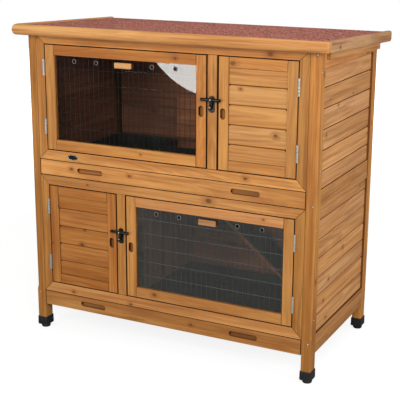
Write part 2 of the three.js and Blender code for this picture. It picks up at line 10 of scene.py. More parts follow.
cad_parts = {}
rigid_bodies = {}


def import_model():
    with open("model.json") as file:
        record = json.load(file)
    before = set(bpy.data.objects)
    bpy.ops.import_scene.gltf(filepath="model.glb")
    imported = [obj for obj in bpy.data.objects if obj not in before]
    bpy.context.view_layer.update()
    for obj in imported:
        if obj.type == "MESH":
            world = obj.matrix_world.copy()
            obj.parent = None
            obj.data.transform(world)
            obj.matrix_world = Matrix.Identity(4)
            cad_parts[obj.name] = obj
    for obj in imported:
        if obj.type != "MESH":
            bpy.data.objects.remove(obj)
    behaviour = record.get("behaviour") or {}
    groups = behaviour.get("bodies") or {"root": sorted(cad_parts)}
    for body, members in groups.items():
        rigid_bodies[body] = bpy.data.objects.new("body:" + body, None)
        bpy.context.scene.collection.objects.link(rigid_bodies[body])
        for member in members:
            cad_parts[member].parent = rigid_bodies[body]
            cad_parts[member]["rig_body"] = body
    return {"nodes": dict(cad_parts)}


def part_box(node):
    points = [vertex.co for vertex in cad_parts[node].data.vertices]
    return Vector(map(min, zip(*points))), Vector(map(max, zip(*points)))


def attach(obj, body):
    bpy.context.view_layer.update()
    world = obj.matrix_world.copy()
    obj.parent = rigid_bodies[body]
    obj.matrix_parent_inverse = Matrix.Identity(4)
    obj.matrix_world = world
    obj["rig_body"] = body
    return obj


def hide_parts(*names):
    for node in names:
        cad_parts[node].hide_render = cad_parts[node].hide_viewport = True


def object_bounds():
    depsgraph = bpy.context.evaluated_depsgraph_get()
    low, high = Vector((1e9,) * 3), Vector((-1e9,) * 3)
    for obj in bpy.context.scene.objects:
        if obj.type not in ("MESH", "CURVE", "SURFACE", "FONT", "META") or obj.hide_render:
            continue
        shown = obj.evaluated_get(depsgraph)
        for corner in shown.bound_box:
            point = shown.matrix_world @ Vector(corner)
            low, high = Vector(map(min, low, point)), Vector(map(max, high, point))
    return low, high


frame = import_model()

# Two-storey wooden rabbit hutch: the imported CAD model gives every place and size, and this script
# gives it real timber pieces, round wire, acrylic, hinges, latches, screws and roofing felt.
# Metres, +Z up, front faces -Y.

cad_low, cad_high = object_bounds()

# ---------------------------------------------------------------- shared sizes

MM = 0.001
MEMBER = 35.5 * MM  # face width of door stiles and rails
DOOR_GAP = 2 * MM
JOINT_GAP = 0.4 * MM  # hairline between two glued or butted timbers
TIMBER_EDGE = 1.1 * MM  # rounding on sawn and sanded edges
BOARD_EDGE = 0.7 * MM
LEVELS = ("lower", "upper")
SIDES = ("left", "right")
ENDS = ("front", "rear")
INWARD = {"left": 1, "right": -1, "front": 1, "rear": -1}  # which way along X or Y leads inside
HINGE_SIDE = {
    "upper_window": "left", "upper_panel": "right", "lower_window": "right", "lower_panel": "left",
}
X_AXIS = Vector((1, 0, 0))
Y_AXIS = Vector((0, 1, 0))
Z_AXIS = Vector((0, 0, 1))


# ---------------------------------------------------------------- node helpers


class Shader:
    """A material under construction: each method adds one node and returns its output."""

    def __init__(self, name):
        self.material = bpy.data.materials.new(name)
        self.material.use_nodes = True
        self.tree = self.material.node_tree
        self.tree.nodes.clear()
        self.output = self.tree.nodes.new("ShaderNodeOutputMaterial")

    def node(self, kind, inputs=(), **settings):
        made = self.tree.nodes.new(kind)
        for key, value in settings.items():
            setattr(made, key, value)
        for key, value in dict(inputs).items():
            self.put(made.inputs[key], value)
        return made

    def put(self, socket, value):
        if isinstance(value, bpy.types.NodeSocket):
            self.tree.links.new(value, socket)
        else:
            socket.default_value = value

    def attribute(self, name):
        return self.node("ShaderNodeAttribute", attribute_name=name).outputs["Vector"]

    def object_coords(self):
        return self.node("ShaderNodeTexCoord").outputs["Object"]

    def math(self, operation, a, b=0.0):
        return self.node("ShaderNodeMath", {0: a, 1: b}, operation=operation).outputs[0]

    def plus(self, a, b):
        return self.math("ADD", a, b)

    def times(self, a, b):
        return self.math("MULTIPLY", a, b)

    def split(self, vector):
        return self.node("ShaderNodeSeparateXYZ", {0: vector}).outputs

    def combine(self, x, y, z=0.0):
        return self.node("ShaderNodeCombineXYZ", {0: x, 1: y, 2: z}).outputs[0]

    def scaled(self, vector, scale):
        return self.node("ShaderNodeVectorMath", {0: vector, 1: scale}, operation="MULTIPLY").outputs[0]

    def length(self, vector):
        return self.node("ShaderNodeVectorMath", {0: vector}, operation="LENGTH").outputs["Value"]

    def noise(self, vector, scale, detail, roughness=0.5):
        return self.node("ShaderNodeTexNoise", {
            "Vector": vector, "Scale": scale, "Detail": detail, "Roughness": roughness}).outputs["Fac"]

    def voronoi(self, vector, scale, output="Distance"):
        return self.node("ShaderNodeTexVoronoi", {"Vector": vector, "Scale": scale}).outputs[output]

    def ramp(self, value, low, high, out_low=0.0, out_high=1.0, smooth=True):
        return self.node("ShaderNodeMapRange", {
            "Value": value, "From Min": low, "From Max": high, "To Min": out_low, "To Max": out_high,
        }, interpolation_type="SMOOTHSTEP" if smooth else "LINEAR").outputs[0]

    def mix(self, factor, a, b, blend="MIX"):
        made = self.node("ShaderNodeMix", data_type="RGBA", blend_type=blend)
        for key, value in ((0, factor), (6, a), (7, b)):
            self.put(made.inputs[key], colour(value) if key > 0 else value)
        return made.outputs[2]

    def bump(self, height, distance, strength):
        return self.node("ShaderNodeBump", {
            "Height": height, "Distance": distance, "Strength": strength}).outputs[0]

    def transparent(self, tint=(1.0, 1.0, 1.0)):
        return self.node("ShaderNodeBsdfTransparent", {"Color": colour(tint)}).outputs[0]

    def emission(self, tint, strength):
        return self.node("ShaderNodeEmission", {"Color": colour(tint), "Strength": strength}).outputs[0]

    def blend(self, factor, a, b):
        return self.node("ShaderNodeMixShader", {0: factor, 1: a, 2: b}).outputs[0]

    def finish(self, surface):
        self.tree.links.new(surface, self.output.inputs["Surface"])
        return self.material

    def painted(self, tint, **values):
        """Finishes the material as one principled surface."""
        inputs = {key.replace("_", " "): value for key, value in values.items()}
        inputs["Base Color"] = tint
        return self.finish(self.node("ShaderNodeBsdfPrincipled", inputs).outputs[0])


def colour(value):
    """Pads an RGB triple to RGBA and passes sockets through."""
    return (*value, 1.0) if isinstance(value, tuple) else value


def scaled_tint(tint, share):
    return tuple(share * part for part in tint)


# ---------------------------------------------------------------- timber material

KNOTS_PER_BOARD = 2


def timber(name, pale, mid, dark, ring_contrast=0.4, ring_pitch=5.0, roughness=0.5, line_depth=0.42,
           blotch_depth=0.42, gloss_level=0.28, own_grain=True):
    """Stained softwood: growth rings round a pith line, fine fibres, knots and a tone of its own per board.

    With own_grain it reads the board's stored coordinates, and otherwise the grain simply runs along X.
    """
    shader = Shader(name)
    if own_grain:
        along, across, depth = shader.split(shader.attribute("grain"))
        bright, tan, taper = shader.split(shader.attribute("tone"))
    else:
        along, across, depth = shader.split(shader.object_coords())
        depth = shader.plus(depth, 0.05)
        bright, tan, taper = 1.0, 0.0, 0.02

    core, halo = knot_masks(shader) if own_grain else (0.0, 0.0)
    radius = ring_radius(shader, along, across, depth, taper, halo)
    ring = ring_bands(shader, radius, ring_pitch)

    fibre = stretched_noise(shader, along, across, depth, 7.0, 420.0, 4.0, 0.62)
    line = stretched_noise(shader, along, across, depth, 3.0, 95.0, 4.0, 0.62)
    streak = stretched_noise(shader, along, across, depth, 1.3, 22.0, 3.0, 0.55)
    blotch = stretched_noise(shader, along, across, depth, 4.0, 13.0, 3.0, 0.6)

    tint = shader.mix(shader.ramp(streak, 0.36, 0.64), pale, mid)
    tint = shader.mix(shader.ramp(blotch, 0.44, 0.74, 0.0, blotch_depth), tint, dark)
    tint = shader.mix(shader.times(ring, ring_contrast), tint, dark)
    tint = shader.mix(shader.ramp(line, 0.5, 0.66, 0.0, line_depth), tint, dark)
    tint = shader.mix(shader.ramp(line, 0.34, 0.46, 0.35, 0.0), tint, scaled_tint(pale, PALE_LINE))
    tint = shader.mix(shader.ramp(fibre, 0.52, 0.8, 0.0, 0.18), tint, dark)
    tint = shader.mix(shader.times(halo, 0.5), tint, dark)
    tint = shader.mix(shader.times(core, 0.82), tint, scaled_tint(dark, 0.55))
    tint = shader.mix(tan, tint, TAN_SHIFT, "MULTIPLY")
    tint = shader.scaled(tint, shader.combine(bright, bright, bright))

    gloss = shader.ramp(fibre, 0.25, 0.8, roughness - 0.07, roughness + 0.12, smooth=False)
    relief = shader.plus(shader.times(fibre, 0.7), shader.times(ring, -0.8))
    normal = shader.bump(relief, 0.00022, 0.55)
    return shader.painted(tint, Roughness=gloss, Normal=normal, Specular_IOR_Level=gloss_level)


def knot_masks(shader):
    """Masks of all knots together: the hard cores, and the wider halos that the grain bends round."""
    core = halo = 0.0
    for i in range(KNOTS_PER_BOARD):
        along, across, size = shader.split(shader.attribute(f"knot_{i}"))
        place = shader.combine(shader.times(along, 0.7), across)
        distance = shader.math("DIVIDE", shader.length(place), size)
        core = shader.math("MAXIMUM", core, shader.ramp(distance, 0.55, 1.1, 1.0, 0.0))
        halo = shader.math("MAXIMUM", halo, shader.ramp(distance, 0.7, 3.2, 1.0, 0.0))
    return core, halo


def ring_radius(shader, along, across, depth, taper, halo):
    """Distance from the pith line, which drifts and tapers along the board and swells at a knot."""
    radius = shader.length(shader.combine(0.0, across, depth))
    radius = shader.plus(radius, shader.times(along, taper))
    for stretch, scale, size in ((0.9, 3.0, 0.02), (3.0, 14.0, 0.002)):
        place = shader.combine(shader.times(along, stretch), across, depth)
        drift = shader.math("SUBTRACT", shader.noise(place, scale, 2.0), 0.5)
        radius = shader.plus(radius, shader.times(drift, size))
    return shader.plus(radius, shader.times(halo, 0.006))


def ring_bands(shader, radius, pitch):
    """0 to 1 across each year's growth, dark late wood at its end; some years are fainter."""
    years = shader.math("DIVIDE", radius, pitch * MM)
    phase = shader.math("FRACT", years)
    early = shader.ramp(phase, 0.05, 0.8)
    late = shader.ramp(phase, 0.86, 1.0, 1.0, 0.0, smooth=False)
    strength = shader.noise(shader.combine(0.0, 0.0, years), 0.9, 1.0)
    ring = shader.times(early, late)
    return shader.times(ring, shader.ramp(strength, 0.35, 0.65, 0.15, 1.0))


def stretched_noise(shader, along, across, depth, along_scale, cross_scale, detail, roughness):
    """Noise drawn out along the grain."""
    place = shader.combine(
        shader.times(along, along_scale), shader.times(across, cross_scale),
        shader.times(depth, cross_scale))
    return shader.noise(place, 1.0, detail, roughness)


TAN_SHIFT = (0.93, 1.06, 1.9)  # what turns honey-coloured timber tan
PALE_LINE = 1.18  # how much brighter than the timber its pale lines are
HONEY = dict(pale=(0.75, 0.335, 0.075), mid=(0.56, 0.215, 0.04), dark=(0.30, 0.088, 0.014))
WOOD_POST = timber("post_timber", **HONEY, ring_contrast=0.26, ring_pitch=7.0)
WOOD_FRAME = timber("frame_timber", **HONEY, ring_contrast=0.36)
WOOD_DOOR = timber(
    "door_timber", (0.76, 0.345, 0.085), (0.60, 0.24, 0.052), (0.36, 0.115, 0.022), ring_contrast=0.3)
WOOD_RUSSET = timber(
    "russet_timber", (0.76, 0.297, 0.060), (0.58, 0.198, 0.034), (0.33, 0.088, 0.0135), ring_contrast=0.33)
WOOD_BOARD = timber(
    "board_timber", (0.74, 0.36, 0.108), (0.60, 0.262, 0.068), (0.33, 0.115, 0.026),
    ring_contrast=0.5, ring_pitch=9.0, line_depth=0.5, blotch_depth=0.12)
WOOD_TRIM = timber(
    "trim_timber", (0.84, 0.43, 0.14), (0.66, 0.29, 0.08), (0.40, 0.145, 0.036), ring_contrast=0.3,
    line_depth=0.7)
# Routed wood takes more stain, and this darker timber also paints shade in the pockets and in the coves under
# the panel doors' seams.
WOOD_ROUTED_SHADE = timber(
    "routed_timber", (0.42, 0.165, 0.036), (0.33, 0.12, 0.025), (0.17, 0.055, 0.012),
    ring_contrast=0.3, roughness=0.7)
WOOD_SHADED = timber(
    "shaded_timber", (0.10, 0.032, 0.010), (0.075, 0.024, 0.008), (0.035, 0.011, 0.004),
    ring_contrast=0.2, roughness=0.75, gloss_level=0.06)
# Dark timber that paints shade in seams, grooves, recesses and joints.
WOOD_SEAM_SHADE = timber(
    "seam_timber", (0.21, 0.078, 0.022), (0.17, 0.06, 0.017), (0.08, 0.026, 0.008),
    ring_contrast=0.2, roughness=0.75, gloss_level=0.06)
# A darker timber that paints shade on the side walls' and rails' inner faces.
WOOD_LINING_SHADE = timber(
    "lining_timber", (0.34, 0.14, 0.07), (0.25, 0.095, 0.045), (0.12, 0.04, 0.019), roughness=0.66,
    gloss_level=0.15)
WOOD_INNER = timber(
    "inner_timber", (0.44, 0.185, 0.10), (0.32, 0.125, 0.064), (0.16, 0.055, 0.027), roughness=0.66)
WOOD_DECK = timber(
    "deck_plywood", (0.45, 0.25, 0.11), (0.34, 0.17, 0.07), (0.2, 0.09, 0.035),
    ring_pitch=9.0, roughness=0.7, own_grain=False)

# ---------------------------------------------------------------- other materials


def metal(name, base, roughness, wear, scale=900.0, metallic=1.0):
    shader = Shader(name)
    place = shader.object_coords()
    grain = shader.noise(place, scale, 3.0, 0.6)
    smudge = shader.noise(place, 60.0, 2.0)
    tint = shader.mix(shader.ramp(smudge, 0.35, 0.7, 0.0, wear), base, scaled_tint(base, 0.55))
    gloss = shader.ramp(smudge, 0.3, 0.75, roughness, roughness + 0.14, smooth=False)
    return shader.painted(tint, Roughness=gloss, Metallic=metallic, Normal=shader.bump(grain, 0.00004, 0.35))


def plastic(name, base, roughness, scale=700.0, depth=0.0001):
    shader = Shader(name)
    place = shader.object_coords()
    pebble = shader.noise(place, scale, 2.0, 0.5)
    dust = shader.noise(place, 18.0, 3.0, 0.6)
    tint = shader.mix(shader.ramp(dust, 0.45, 0.8, 0.0, 0.25), base, tuple(part + 0.05 for part in base))
    gloss = shader.ramp(dust, 0.3, 0.7, roughness - 0.05, roughness + 0.12, smooth=False)
    return shader.painted(tint, Roughness=gloss, Normal=shader.bump(pebble, depth, 0.5))


def roofing_felt(name):
    """Mineral felt: crushed stone granules of several reds pressed into bitumen, in clumps."""
    shader = Shader(name)
    place = shader.object_coords()
    granule = shader.split(shader.voronoi(place, 480.0, output="Color"))
    clump = shader.split(shader.voronoi(place, 210.0, output="Color"))
    drift = shader.split(shader.voronoi(place, 160.0, output="Color"))
    edge = shader.voronoi(place, 480.0)
    speck = shader.noise(place, 190.0, 2.0, 0.7)
    patch = shader.noise(place, 5.0, 3.0, 0.6)
    tint = shader.mix(shader.ramp(granule[0], 0.1, 0.9), (0.40, 0.067, 0.043), (0.69, 0.19, 0.125))
    for mask, low, high, most, shade in (
            (drift[0], 0.45, 0.7, 0.8, (0.80, 0.33, 0.235)), (drift[1], 0.55, 0.75, 0.8, (0.14, 0.02, 0.013)),
            (clump[0], 0.62, 0.86, 0.75, (0.78, 0.36, 0.26)), (clump[1], 0.6, 0.9, 0.8, (0.19, 0.034, 0.024)),
            (granule[1], 0.86, 0.97, 1.0, (0.85, 0.52, 0.43)), (patch, 0.35, 0.7, 0.2, (0.40, 0.1, 0.073))):
        tint = shader.mix(shader.ramp(mask, low, high, 0.0, most), tint, shade)
    height = shader.plus(shader.times(edge, -1.0), shader.times(speck, 0.9))
    normal = shader.bump(height, 0.0014, 0.9)
    return shader.painted(tint, Roughness=0.93, Normal=normal, Specular_IOR_Level=0.2)


def ramp_covering(name):
    """Dark grit felt that gives paws a grip."""
    shader = Shader(name)
    place = shader.object_coords()
    granule = shader.split(shader.voronoi(place, 500.0, output="Color"))
    edge = shader.voronoi(place, 500.0)
    patch = shader.noise(place, 12.0, 3.0, 0.6)
    tint = shader.mix(granule[0], (0.045, 0.05, 0.046), (0.13, 0.14, 0.13))
    tint = shader.mix(shader.ramp(patch, 0.4, 0.7, 0.0, 0.4), tint, (0.07, 0.075, 0.068))
    return shader.painted(tint, Roughness=0.9, Normal=shader.bump(edge, 0.0008, 0.8))


def acrylic(name):
    """A clear sheet: mirror-like where light grazes it, with a trace of dust."""
    shader = Shader(name)
    place = shader.object_coords()
    cloud = shader.noise(shader.scaled(place, (9.0, 9.0, 5.0)), 1.0, 4.0, 0.65)
    haze = shader.ramp(cloud, 0.5, 0.8, 0.0005, 0.005)
    dust = shader.node("ShaderNodeBsdfDiffuse", {"Color": (0.8, 0.8, 0.78, 1.0)}).outputs[0]
    body = shader.blend(haze, shader.transparent((0.93, 0.94, 0.92)), dust)
    shine = shader.node("ShaderNodeBsdfGlossy", {
        "Color": (1.0, 1.0, 1.0, 1.0), "Roughness": shader.ramp(cloud, 0.4, 0.8, 0.004, 0.012)}).outputs[0]
    fresnel = shader.node("ShaderNodeFresnel", {"IOR": 1.49}).outputs[0]
    return shader.finish(shader.blend(fresnel, body, shine))


def frosted_edge(name, base):
    """The sawn and drilled edges of acrylic scatter light and look pale."""
    shader = Shader(name)
    marks = shader.noise(shader.object_coords(), 900.0, 2.0)
    tint = shader.mix(marks, scaled_tint(base, 0.6), base)
    return shader.painted(tint, Roughness=0.35, Normal=shader.bump(marks, 0.0001, 0.4))


FELT = roofing_felt("mineral_felt")
RAMP_FELT = ramp_covering("ramp_grit")
CAP_BLACK = plastic("cap_black", (0.012, 0.012, 0.013), 0.5)
TRAY_BLACK = plastic("tray_black", (0.018, 0.021, 0.021), 0.42, scale=420.0, depth=0.00016)
LATCH_BLACK = metal("latch_black", (0.012, 0.012, 0.013), 0.2, wear=0.3, scale=500.0, metallic=0.35)
BRIGHT = metal("bright_zinc", (0.62, 0.6, 0.56), 0.24, wear=0.35)
NICKEL = metal("nickel", (0.60, 0.58, 0.52), 0.34, wear=0.35, metallic=0.75)
# One wire in two copies: the lighter for the lower door's level wires, the near-black as painted shade for the
# upright and upper wires.
WIRE = metal("galvanised_wire", (0.22, 0.225, 0.22), 0.4, wear=0.5, scale=1500.0, metallic=0.5)
WIRE_IN_SHADE = metal("weathered_wire", (0.05, 0.047, 0.043), 0.55, wear=0.5, scale=1500.0, metallic=0.4)
ACRYLIC = acrylic("clear_acrylic")
# The acrylic's cut edges in near-black: painted shade inside the vent holes and along the sheet's edges.
ACRYLIC_EDGE_SHADE = frosted_edge("acrylic_edge", (0.09, 0.09, 0.085))
ACRYLIC_BURR = frosted_edge("acrylic_burr", (0.42, 0.43, 0.41))

# ---------------------------------------------------------------- mesh helpers

AXIS_INDEX = {"x": 0, "y": 1, "z": 2}
ROUNDED_ANGLE = math.radians(32)  # edges sharper than this are rounded
scene = bpy.context.scene


def new_object(name, mesh):
    made = bpy.data.objects.new(name, mesh)
    scene.collection.objects.link(made)
    return made


@contextlib.contextmanager
def editing(mesh):
    """Lends a bmesh of the mesh and writes it back afterwards."""
    draft = bmesh.new()
    draft.from_mesh(mesh)
    yield draft
    draft.to_mesh(mesh)
    draft.free()


def mesh_from(name, vertices, faces):
    mesh = bpy.data.meshes.new(name)
    mesh.from_pydata([tuple(point) for point in vertices], [], faces)
    mesh.validate()
    with editing(mesh) as draft:
        bmesh.ops.recalc_face_normals(draft, faces=draft.faces)
    return mesh


def prism_mesh(name, outline, axis, low, high):
    """An outline in the two axes other than `axis`, in X, Y, Z order, pushed from low to high."""
    rings = []
    for level in (low, high):
        ring = [list(point) for point in outline]
        for point in ring:
            point.insert(AXIS_INDEX[axis], level)
        rings.append(ring)
    return ring_mesh(name, rings)


def box_mesh(name, low, high):
    outline = [(low[0], low[2]), (high[0], low[2]), (high[0], high[2]), (low[0], high[2])]
    return prism_mesh(name, outline, "y", low[1], high[1])


def ring_mesh(name, rings, ends=True):
    """A skin over rings of equal length: its ends are filled, or the last ring joins the first."""
    count = len(rings[0])
    last = len(rings) - 1
    faces = [tuple(range(count)), tuple(range(last * count, (last + 1) * count))] if ends else []
    for k in range(last if ends else last + 1):
        a, b = k * count, (k + 1) % len(rings) * count
        for i in range(count):
            j = (i + 1) % count
            faces.append((a + i, a + j, b + j, b + i))
    return mesh_from(name, [point for ring in rings for point in ring], faces)


def join_meshes(name, meshes):
    joined = bpy.data.meshes.new(name)
    with editing(joined) as draft:
        for mesh in meshes:
            draft.from_mesh(mesh)
    return joined


def clean_copy(node):
    """A copy of a CAD mesh with doubled points merged and flat faces rejoined, so that it rounds cleanly."""
    copy = bpy.data.meshes.new(node + "_clean")
    with editing(copy) as draft:
        draft.from_mesh(frame["nodes"][node].data)
        bmesh.ops.remove_doubles(draft, verts=draft.verts, dist=1e-6)
        bmesh.ops.dissolve_limit(draft, angle_limit=math.radians(1), verts=draft.verts, edges=draft.edges)
        bmesh.ops.recalc_face_normals(draft, faces=draft.faces)
    return copy


def add_rounding(made, width, segments=2):
    bevel = made.modifiers.new("round", "BEVEL")
    bevel.width = width
    bevel.segments = segments
    bevel.limit_method = "ANGLE"
    bevel.angle_limit = ROUNDED_ANGLE
    bevel.harden_normals = True


def cut_and_round(made, cutters, edge, segments=2):
    """Cuts the cutter meshes out of an object, rounds its sharp edges and keeps the result as its mesh."""
    helpers = [new_object(f"{made.name}_cutter_{i}", cutter) for i, cutter in enumerate(cutters)]
    for helper in helpers:
        boolean = made.modifiers.new("cut", "BOOLEAN")
        boolean.object = helper
        boolean.operation = "DIFFERENCE"
        boolean.solver = "EXACT"
    if edge > 0:
        add_rounding(made, edge, segments)
    graph = bpy.context.evaluated_depsgraph_get()
    graph.update()
    result = bpy.data.meshes.new_from_object(made.evaluated_get(graph), depsgraph=graph)
    made.modifiers.clear()
    made.data = result
    for helper in helpers:
        bpy.data.objects.remove(helper)


def smooth(made, angle):
    """Smooth shading that breaks at edges sharper than the angle in degrees."""
    made.data.shade_smooth()
    made.data.set_sharp_from_angle(angle=math.radians(angle))


def arc(centre, radius, start, stop, steps):
    """Points on a circle from one angle to another."""
    angles = [start + (stop - start) * i / steps for i in range(steps + 1)]
    return [(centre[0] + radius * math.cos(angle), centre[1] + radius * math.sin(angle)) for angle in angles]


def rounded_rectangle(centre, half_u, half_v, radius, steps):
    """Outline of a rectangle with round corners, or of a slot or circle, as (u, v) points."""
    points = []
    for quarter, (side_u, side_v) in enumerate(((1, 1), (-1, 1), (-1, -1), (1, -1))):
        corner = (centre[0] + side_u * (half_u - radius), centre[1] + side_v * (half_v - radius))
        points += arc(corner, radius, quarter * math.pi / 2, (quarter + 1) * math.pi / 2, steps)
    return points


def slot_outline(centre, width, height):
    radius = min(width, height) / 2
    return unique_points(rounded_rectangle(centre, width / 2, height / 2, radius, 8))


def unique_points(points):
    kept = []
    for point in points:
        if not kept or math.dist(point, kept[-1]) > 1e-7:
            kept.append(point)
    if math.dist(kept[0], kept[-1]) < 1e-7:
        kept.pop()
    return kept


def circle_round(centre, side, other, radius, steps):
    """Points on a circle in the plane of two vectors; vectors of unequal length make it an oval."""
    angles = [2 * math.pi * i / steps for i in range(steps)]
    return [Vector(centre) + (side * math.cos(angle) + other * math.sin(angle)) * radius for angle in angles]


# ---------------------------------------------------------------- timber pieces

FAR_KNOT = (9.0, 9.0, 0.01)  # stands for no knot
CLEAR = [FAR_KNOT]

# How pieces that stand out differ: brightness at the low and the high end, then how tan they are.
# The front posts darken towards the floor as painted shade, where less light reaches.
TONES = {
    "post_front_right_timber": (0.70, 1.04, 0.05), "post_front_left_timber": (0.76, 0.80, 0.0),
    "roof_trim_front": (1.04, 1.04, 0.1), "roof_trim_right": (0.79, 0.79, 0.55),
    "upper_frame_top_rail": (1.15, 1.15, 0.25), "upper_window_top_rail": (0.81, 0.81, 0.0),
    "upper_window_bottom_rail": (1.0, 1.0, 0.0), "upper_window_left_stile": (0.89, 0.89, 0.1),
    "upper_window_right_stile": (0.87, 0.87, 0.0), "upper_mullion": (0.91, 0.91, 0.1),
    "upper_panel_right_stile": (0.81, 0.81, 0.1), "upper_panel_left_stile": (0.96, 0.96, 0.0),
    "upper_frame_left_stile": (0.95, 0.95, 0.2), "upper_frame_right_stile": (0.74, 0.74, 0.05),
    "upper_frame_bottom_rail": (1.12, 1.12, 0.35), "upper_drawer_face": (1.23, 0.95, 0.35),
    "lower_frame_top_rail": (0.98, 0.98, 0.4), "lower_window_top_rail": (1.14, 1.14, 0.6),
    "lower_window_bottom_rail": (0.87, 0.87, 0.15), "lower_frame_right_stile": (0.72, 0.72, 0.05),
    "lower_window_right_stile": (0.84, 0.84, 0.05), "lower_window_left_stile": (0.9, 0.9, 0.05),
    "lower_frame_bottom_rail": (1.08, 1.08, 0.6), "lower_drawer_face": (0.84, 0.84, 0.3),
    "lower_panel_left_stile": (0.76, 0.76, 0.0), "lower_panel_right_stile": (0.80, 0.80, 0.0),
    "lower_panel_top_rail": (0.85, 0.85, 0.1), "lower_panel_bottom_rail": (0.76, 0.76, 0.0),
    "lower_mullion": (0.86, 0.86, 0.0), "lower_frame_left_stile": (0.86, 0.86, 0.05),
    "lower_grip_tab": (0.74, 0.74, 0.6), "upper_grip_tab": (0.95, 0.95, 0.2),
    "right_mid_rail_timber": (0.87, 0.87, 0.5), "right_bottom_rail_timber": (0.86, 0.86, 0.5),
    "right_top_rail_timber": (1.46, 1.46, 0.7),
}

# Where the clearest knots of the photo are: place along the grain, place across it and size.
KNOTS = {
    "post_front_right_timber": [(0.355, -0.262, 5 * MM), (1.022, -0.246, 7 * MM)],
    "post_front_left_timber": [(0.855, -0.252, 6 * MM)],
    "lower_frame_top_rail": [(0.166, 0.583, 9 * MM), (-0.31, 0.58, 3 * MM)],
    "upper_frame_bottom_rail": [(0.298, 0.674, 6 * MM)],
    "lower_frame_bottom_rail": [(-0.382, 0.167, 5 * MM), (-0.14, 0.162, 5 * MM)],
    "upper_frame_top_rail": [(0.376, 1.079, 8 * MM)],
    "right_lower_board_4": [(0.02, 0.39, 6 * MM)],
    "right_lower_board_2": [(-0.16, 0.255, 6 * MM)],
    "upper_drawer_face": [(-0.375, 0.63, 6 * MM), (-0.138, 0.632, 5 * MM)],
    "lower_drawer_face": [(0.1, 0.13, 5 * MM)],
    "upper_panel_top_rail": [(0.249, 1.043, 8 * MM)],
    "upper_panel_board_4": [(0.275, 0.963, 4 * MM)],
    "upper_panel_board_2": [(0.398, 0.824, 6 * MM)],
    "lower_panel_board_3": [(-0.342, 0.353, 6 * MM), (-0.33, 0.409, 3 * MM)],
    "upper_window_bottom_rail": [(-0.092, 0.712, 3 * MM)],
    "upper_window_top_rail": [(0.042, 1.046, 5 * MM)],
    "lower_window_bottom_rail": [(-0.043, 0.215, 7 * MM)],
    "lower_window_top_rail": [(0.364, 0.545, 4 * MM)],
    "roof_trim_right": [(0.1, 0.015, 5 * MM)],
}
KNOTS.update({name: CLEAR for name in (
    "upper_frame_right_stile", "lower_frame_right_stile", "upper_window_right_stile",
    "upper_panel_left_stile", "lower_panel_bottom_rail", "lower_panel_top_rail", "upper_panel_board_5",
    "lower_panel_board_1", "lower_panel_board_2", "lower_panel_board_4", "roof_trim_front")})


def give_grain(made, along, knots, bright, tan):
    """Stores each vertex's place in the board's own frame: along the grain, across it and from the pith."""
    mesh = made.data
    points = [vertex.co for vertex in mesh.vertices]
    lows = [min(point[i] for point in points) for i in range(3)]
    highs = [max(point[i] for point in points) for i in range(3)]
    spans = [high - low for low, high in zip(lows, highs)]
    run = AXIS_INDEX[along]
    wide, thin = sorted((i for i in range(3) if i != run), key=lambda i: -spans[i])
    dice = random.Random(made.name)
    start = dice.uniform(0, 40)
    pith_across = dice.uniform(-0.03, 0.03)
    pith_depth = dice.choice((-1, 1)) * dice.uniform(0.022, 0.06)
    chance_tan = max(0.0, tan + dice.uniform(-0.08, 0.16))
    tone_low, tone_high, tan = TONES.get(made.name, (bright, bright, chance_tan))
    taper = dice.choice((0.005, 0.01, 0.02, 0.05))
    grain, tone = [], []
    for point in points:
        offset = [point[i] - (highs[i] + lows[i]) / 2 for i in range(3)]
        grain += [offset[run] + start, offset[wide] + pith_across, offset[thin] + pith_depth]
        tone += [tone_low + (tone_high - tone_low) * (offset[run] / spans[run] + 0.5), tan, taper]
    values = {"grain": grain, "tone": tone}
    for i in range(KNOTS_PER_BOARD):
        if i < len(knots):
            at_along, at_across, size = knots[i]
            values[f"knot_{i}"] = [
                value for point in points for value in (point[run] - at_along, point[wide] - at_across, size)]
        else:
            values[f"knot_{i}"] = FAR_KNOT * len(points)
    for name, vectors in values.items():
        mesh.attributes.new(name, "FLOAT_VECTOR", "POINT")
        mesh.attributes[name].data.foreach_set("vector", vectors)


def random_knots(low, high, along, chance=0.5, size=(3, 7)):
    """Up to two knots somewhere on the wide face of a board, with their sizes in mm."""
    run = AXIS_INDEX[along]
    dice = random.Random(f"{low[0]:.3f} {low[1]:.3f} {low[2]:.3f}")
    wide = max((i for i in range(3) if i != run), key=lambda i: high[i] - low[i])
    marks = []
    for _ in range(KNOTS_PER_BOARD):
        if dice.random() < chance:
            marks.append((
                dice.uniform(low[run], high[run]), dice.uniform(low[wide], high[wide]),
                dice.uniform(*size) * MM))
    return marks


def body_of(node):
    return frame["nodes"][node]["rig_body"]


def hand_over(made, node, material, stands_in):
    """Gives a piece its material, the body of a CAD node and a slot; stands_in hides the node itself."""
    made.data.materials.clear()
    made.data.materials.append(material)
    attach(made, body_of(node))
    if stands_in:
        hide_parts(node)
    return made


def timber_piece(name, mesh, along, node, material=WOOD_FRAME, cutters=(),
                 edge=TIMBER_EDGE, knots=(), bright=1.0, tan=0.0, segments=2, stands_in=True):
    made = new_object(name, mesh)
    cut_and_round(made, cutters, edge, segments)
    give_grain(made, along, KNOTS.get(name, knots), bright, tan)
    return hand_over(made, node, material, stands_in)


def plain_piece(name, mesh, node, material, edge=0.0, cutters=(), segments=2, angle=40.0,
                stands_in=True):
    made = new_object(name, mesh)
    cut_and_round(made, cutters, edge, segments)
    if edge == 0:
        smooth(made, angle)
    return hand_over(made, node, material, stands_in)


def shade_or_stain(made, is_dark, material=WOOD_SHADED):
    """Gives a darker material to the faces that is_dark(centre, normal) picks: mostly painted shade in gaps,
    hollows and pockets, and once the back boards' inner timber.
    """
    made.data.materials.append(material)
    index = len(made.data.materials) - 1
    for face in made.data.polygons:
        if is_dark(face.center, face.normal):
            face.material_index = index


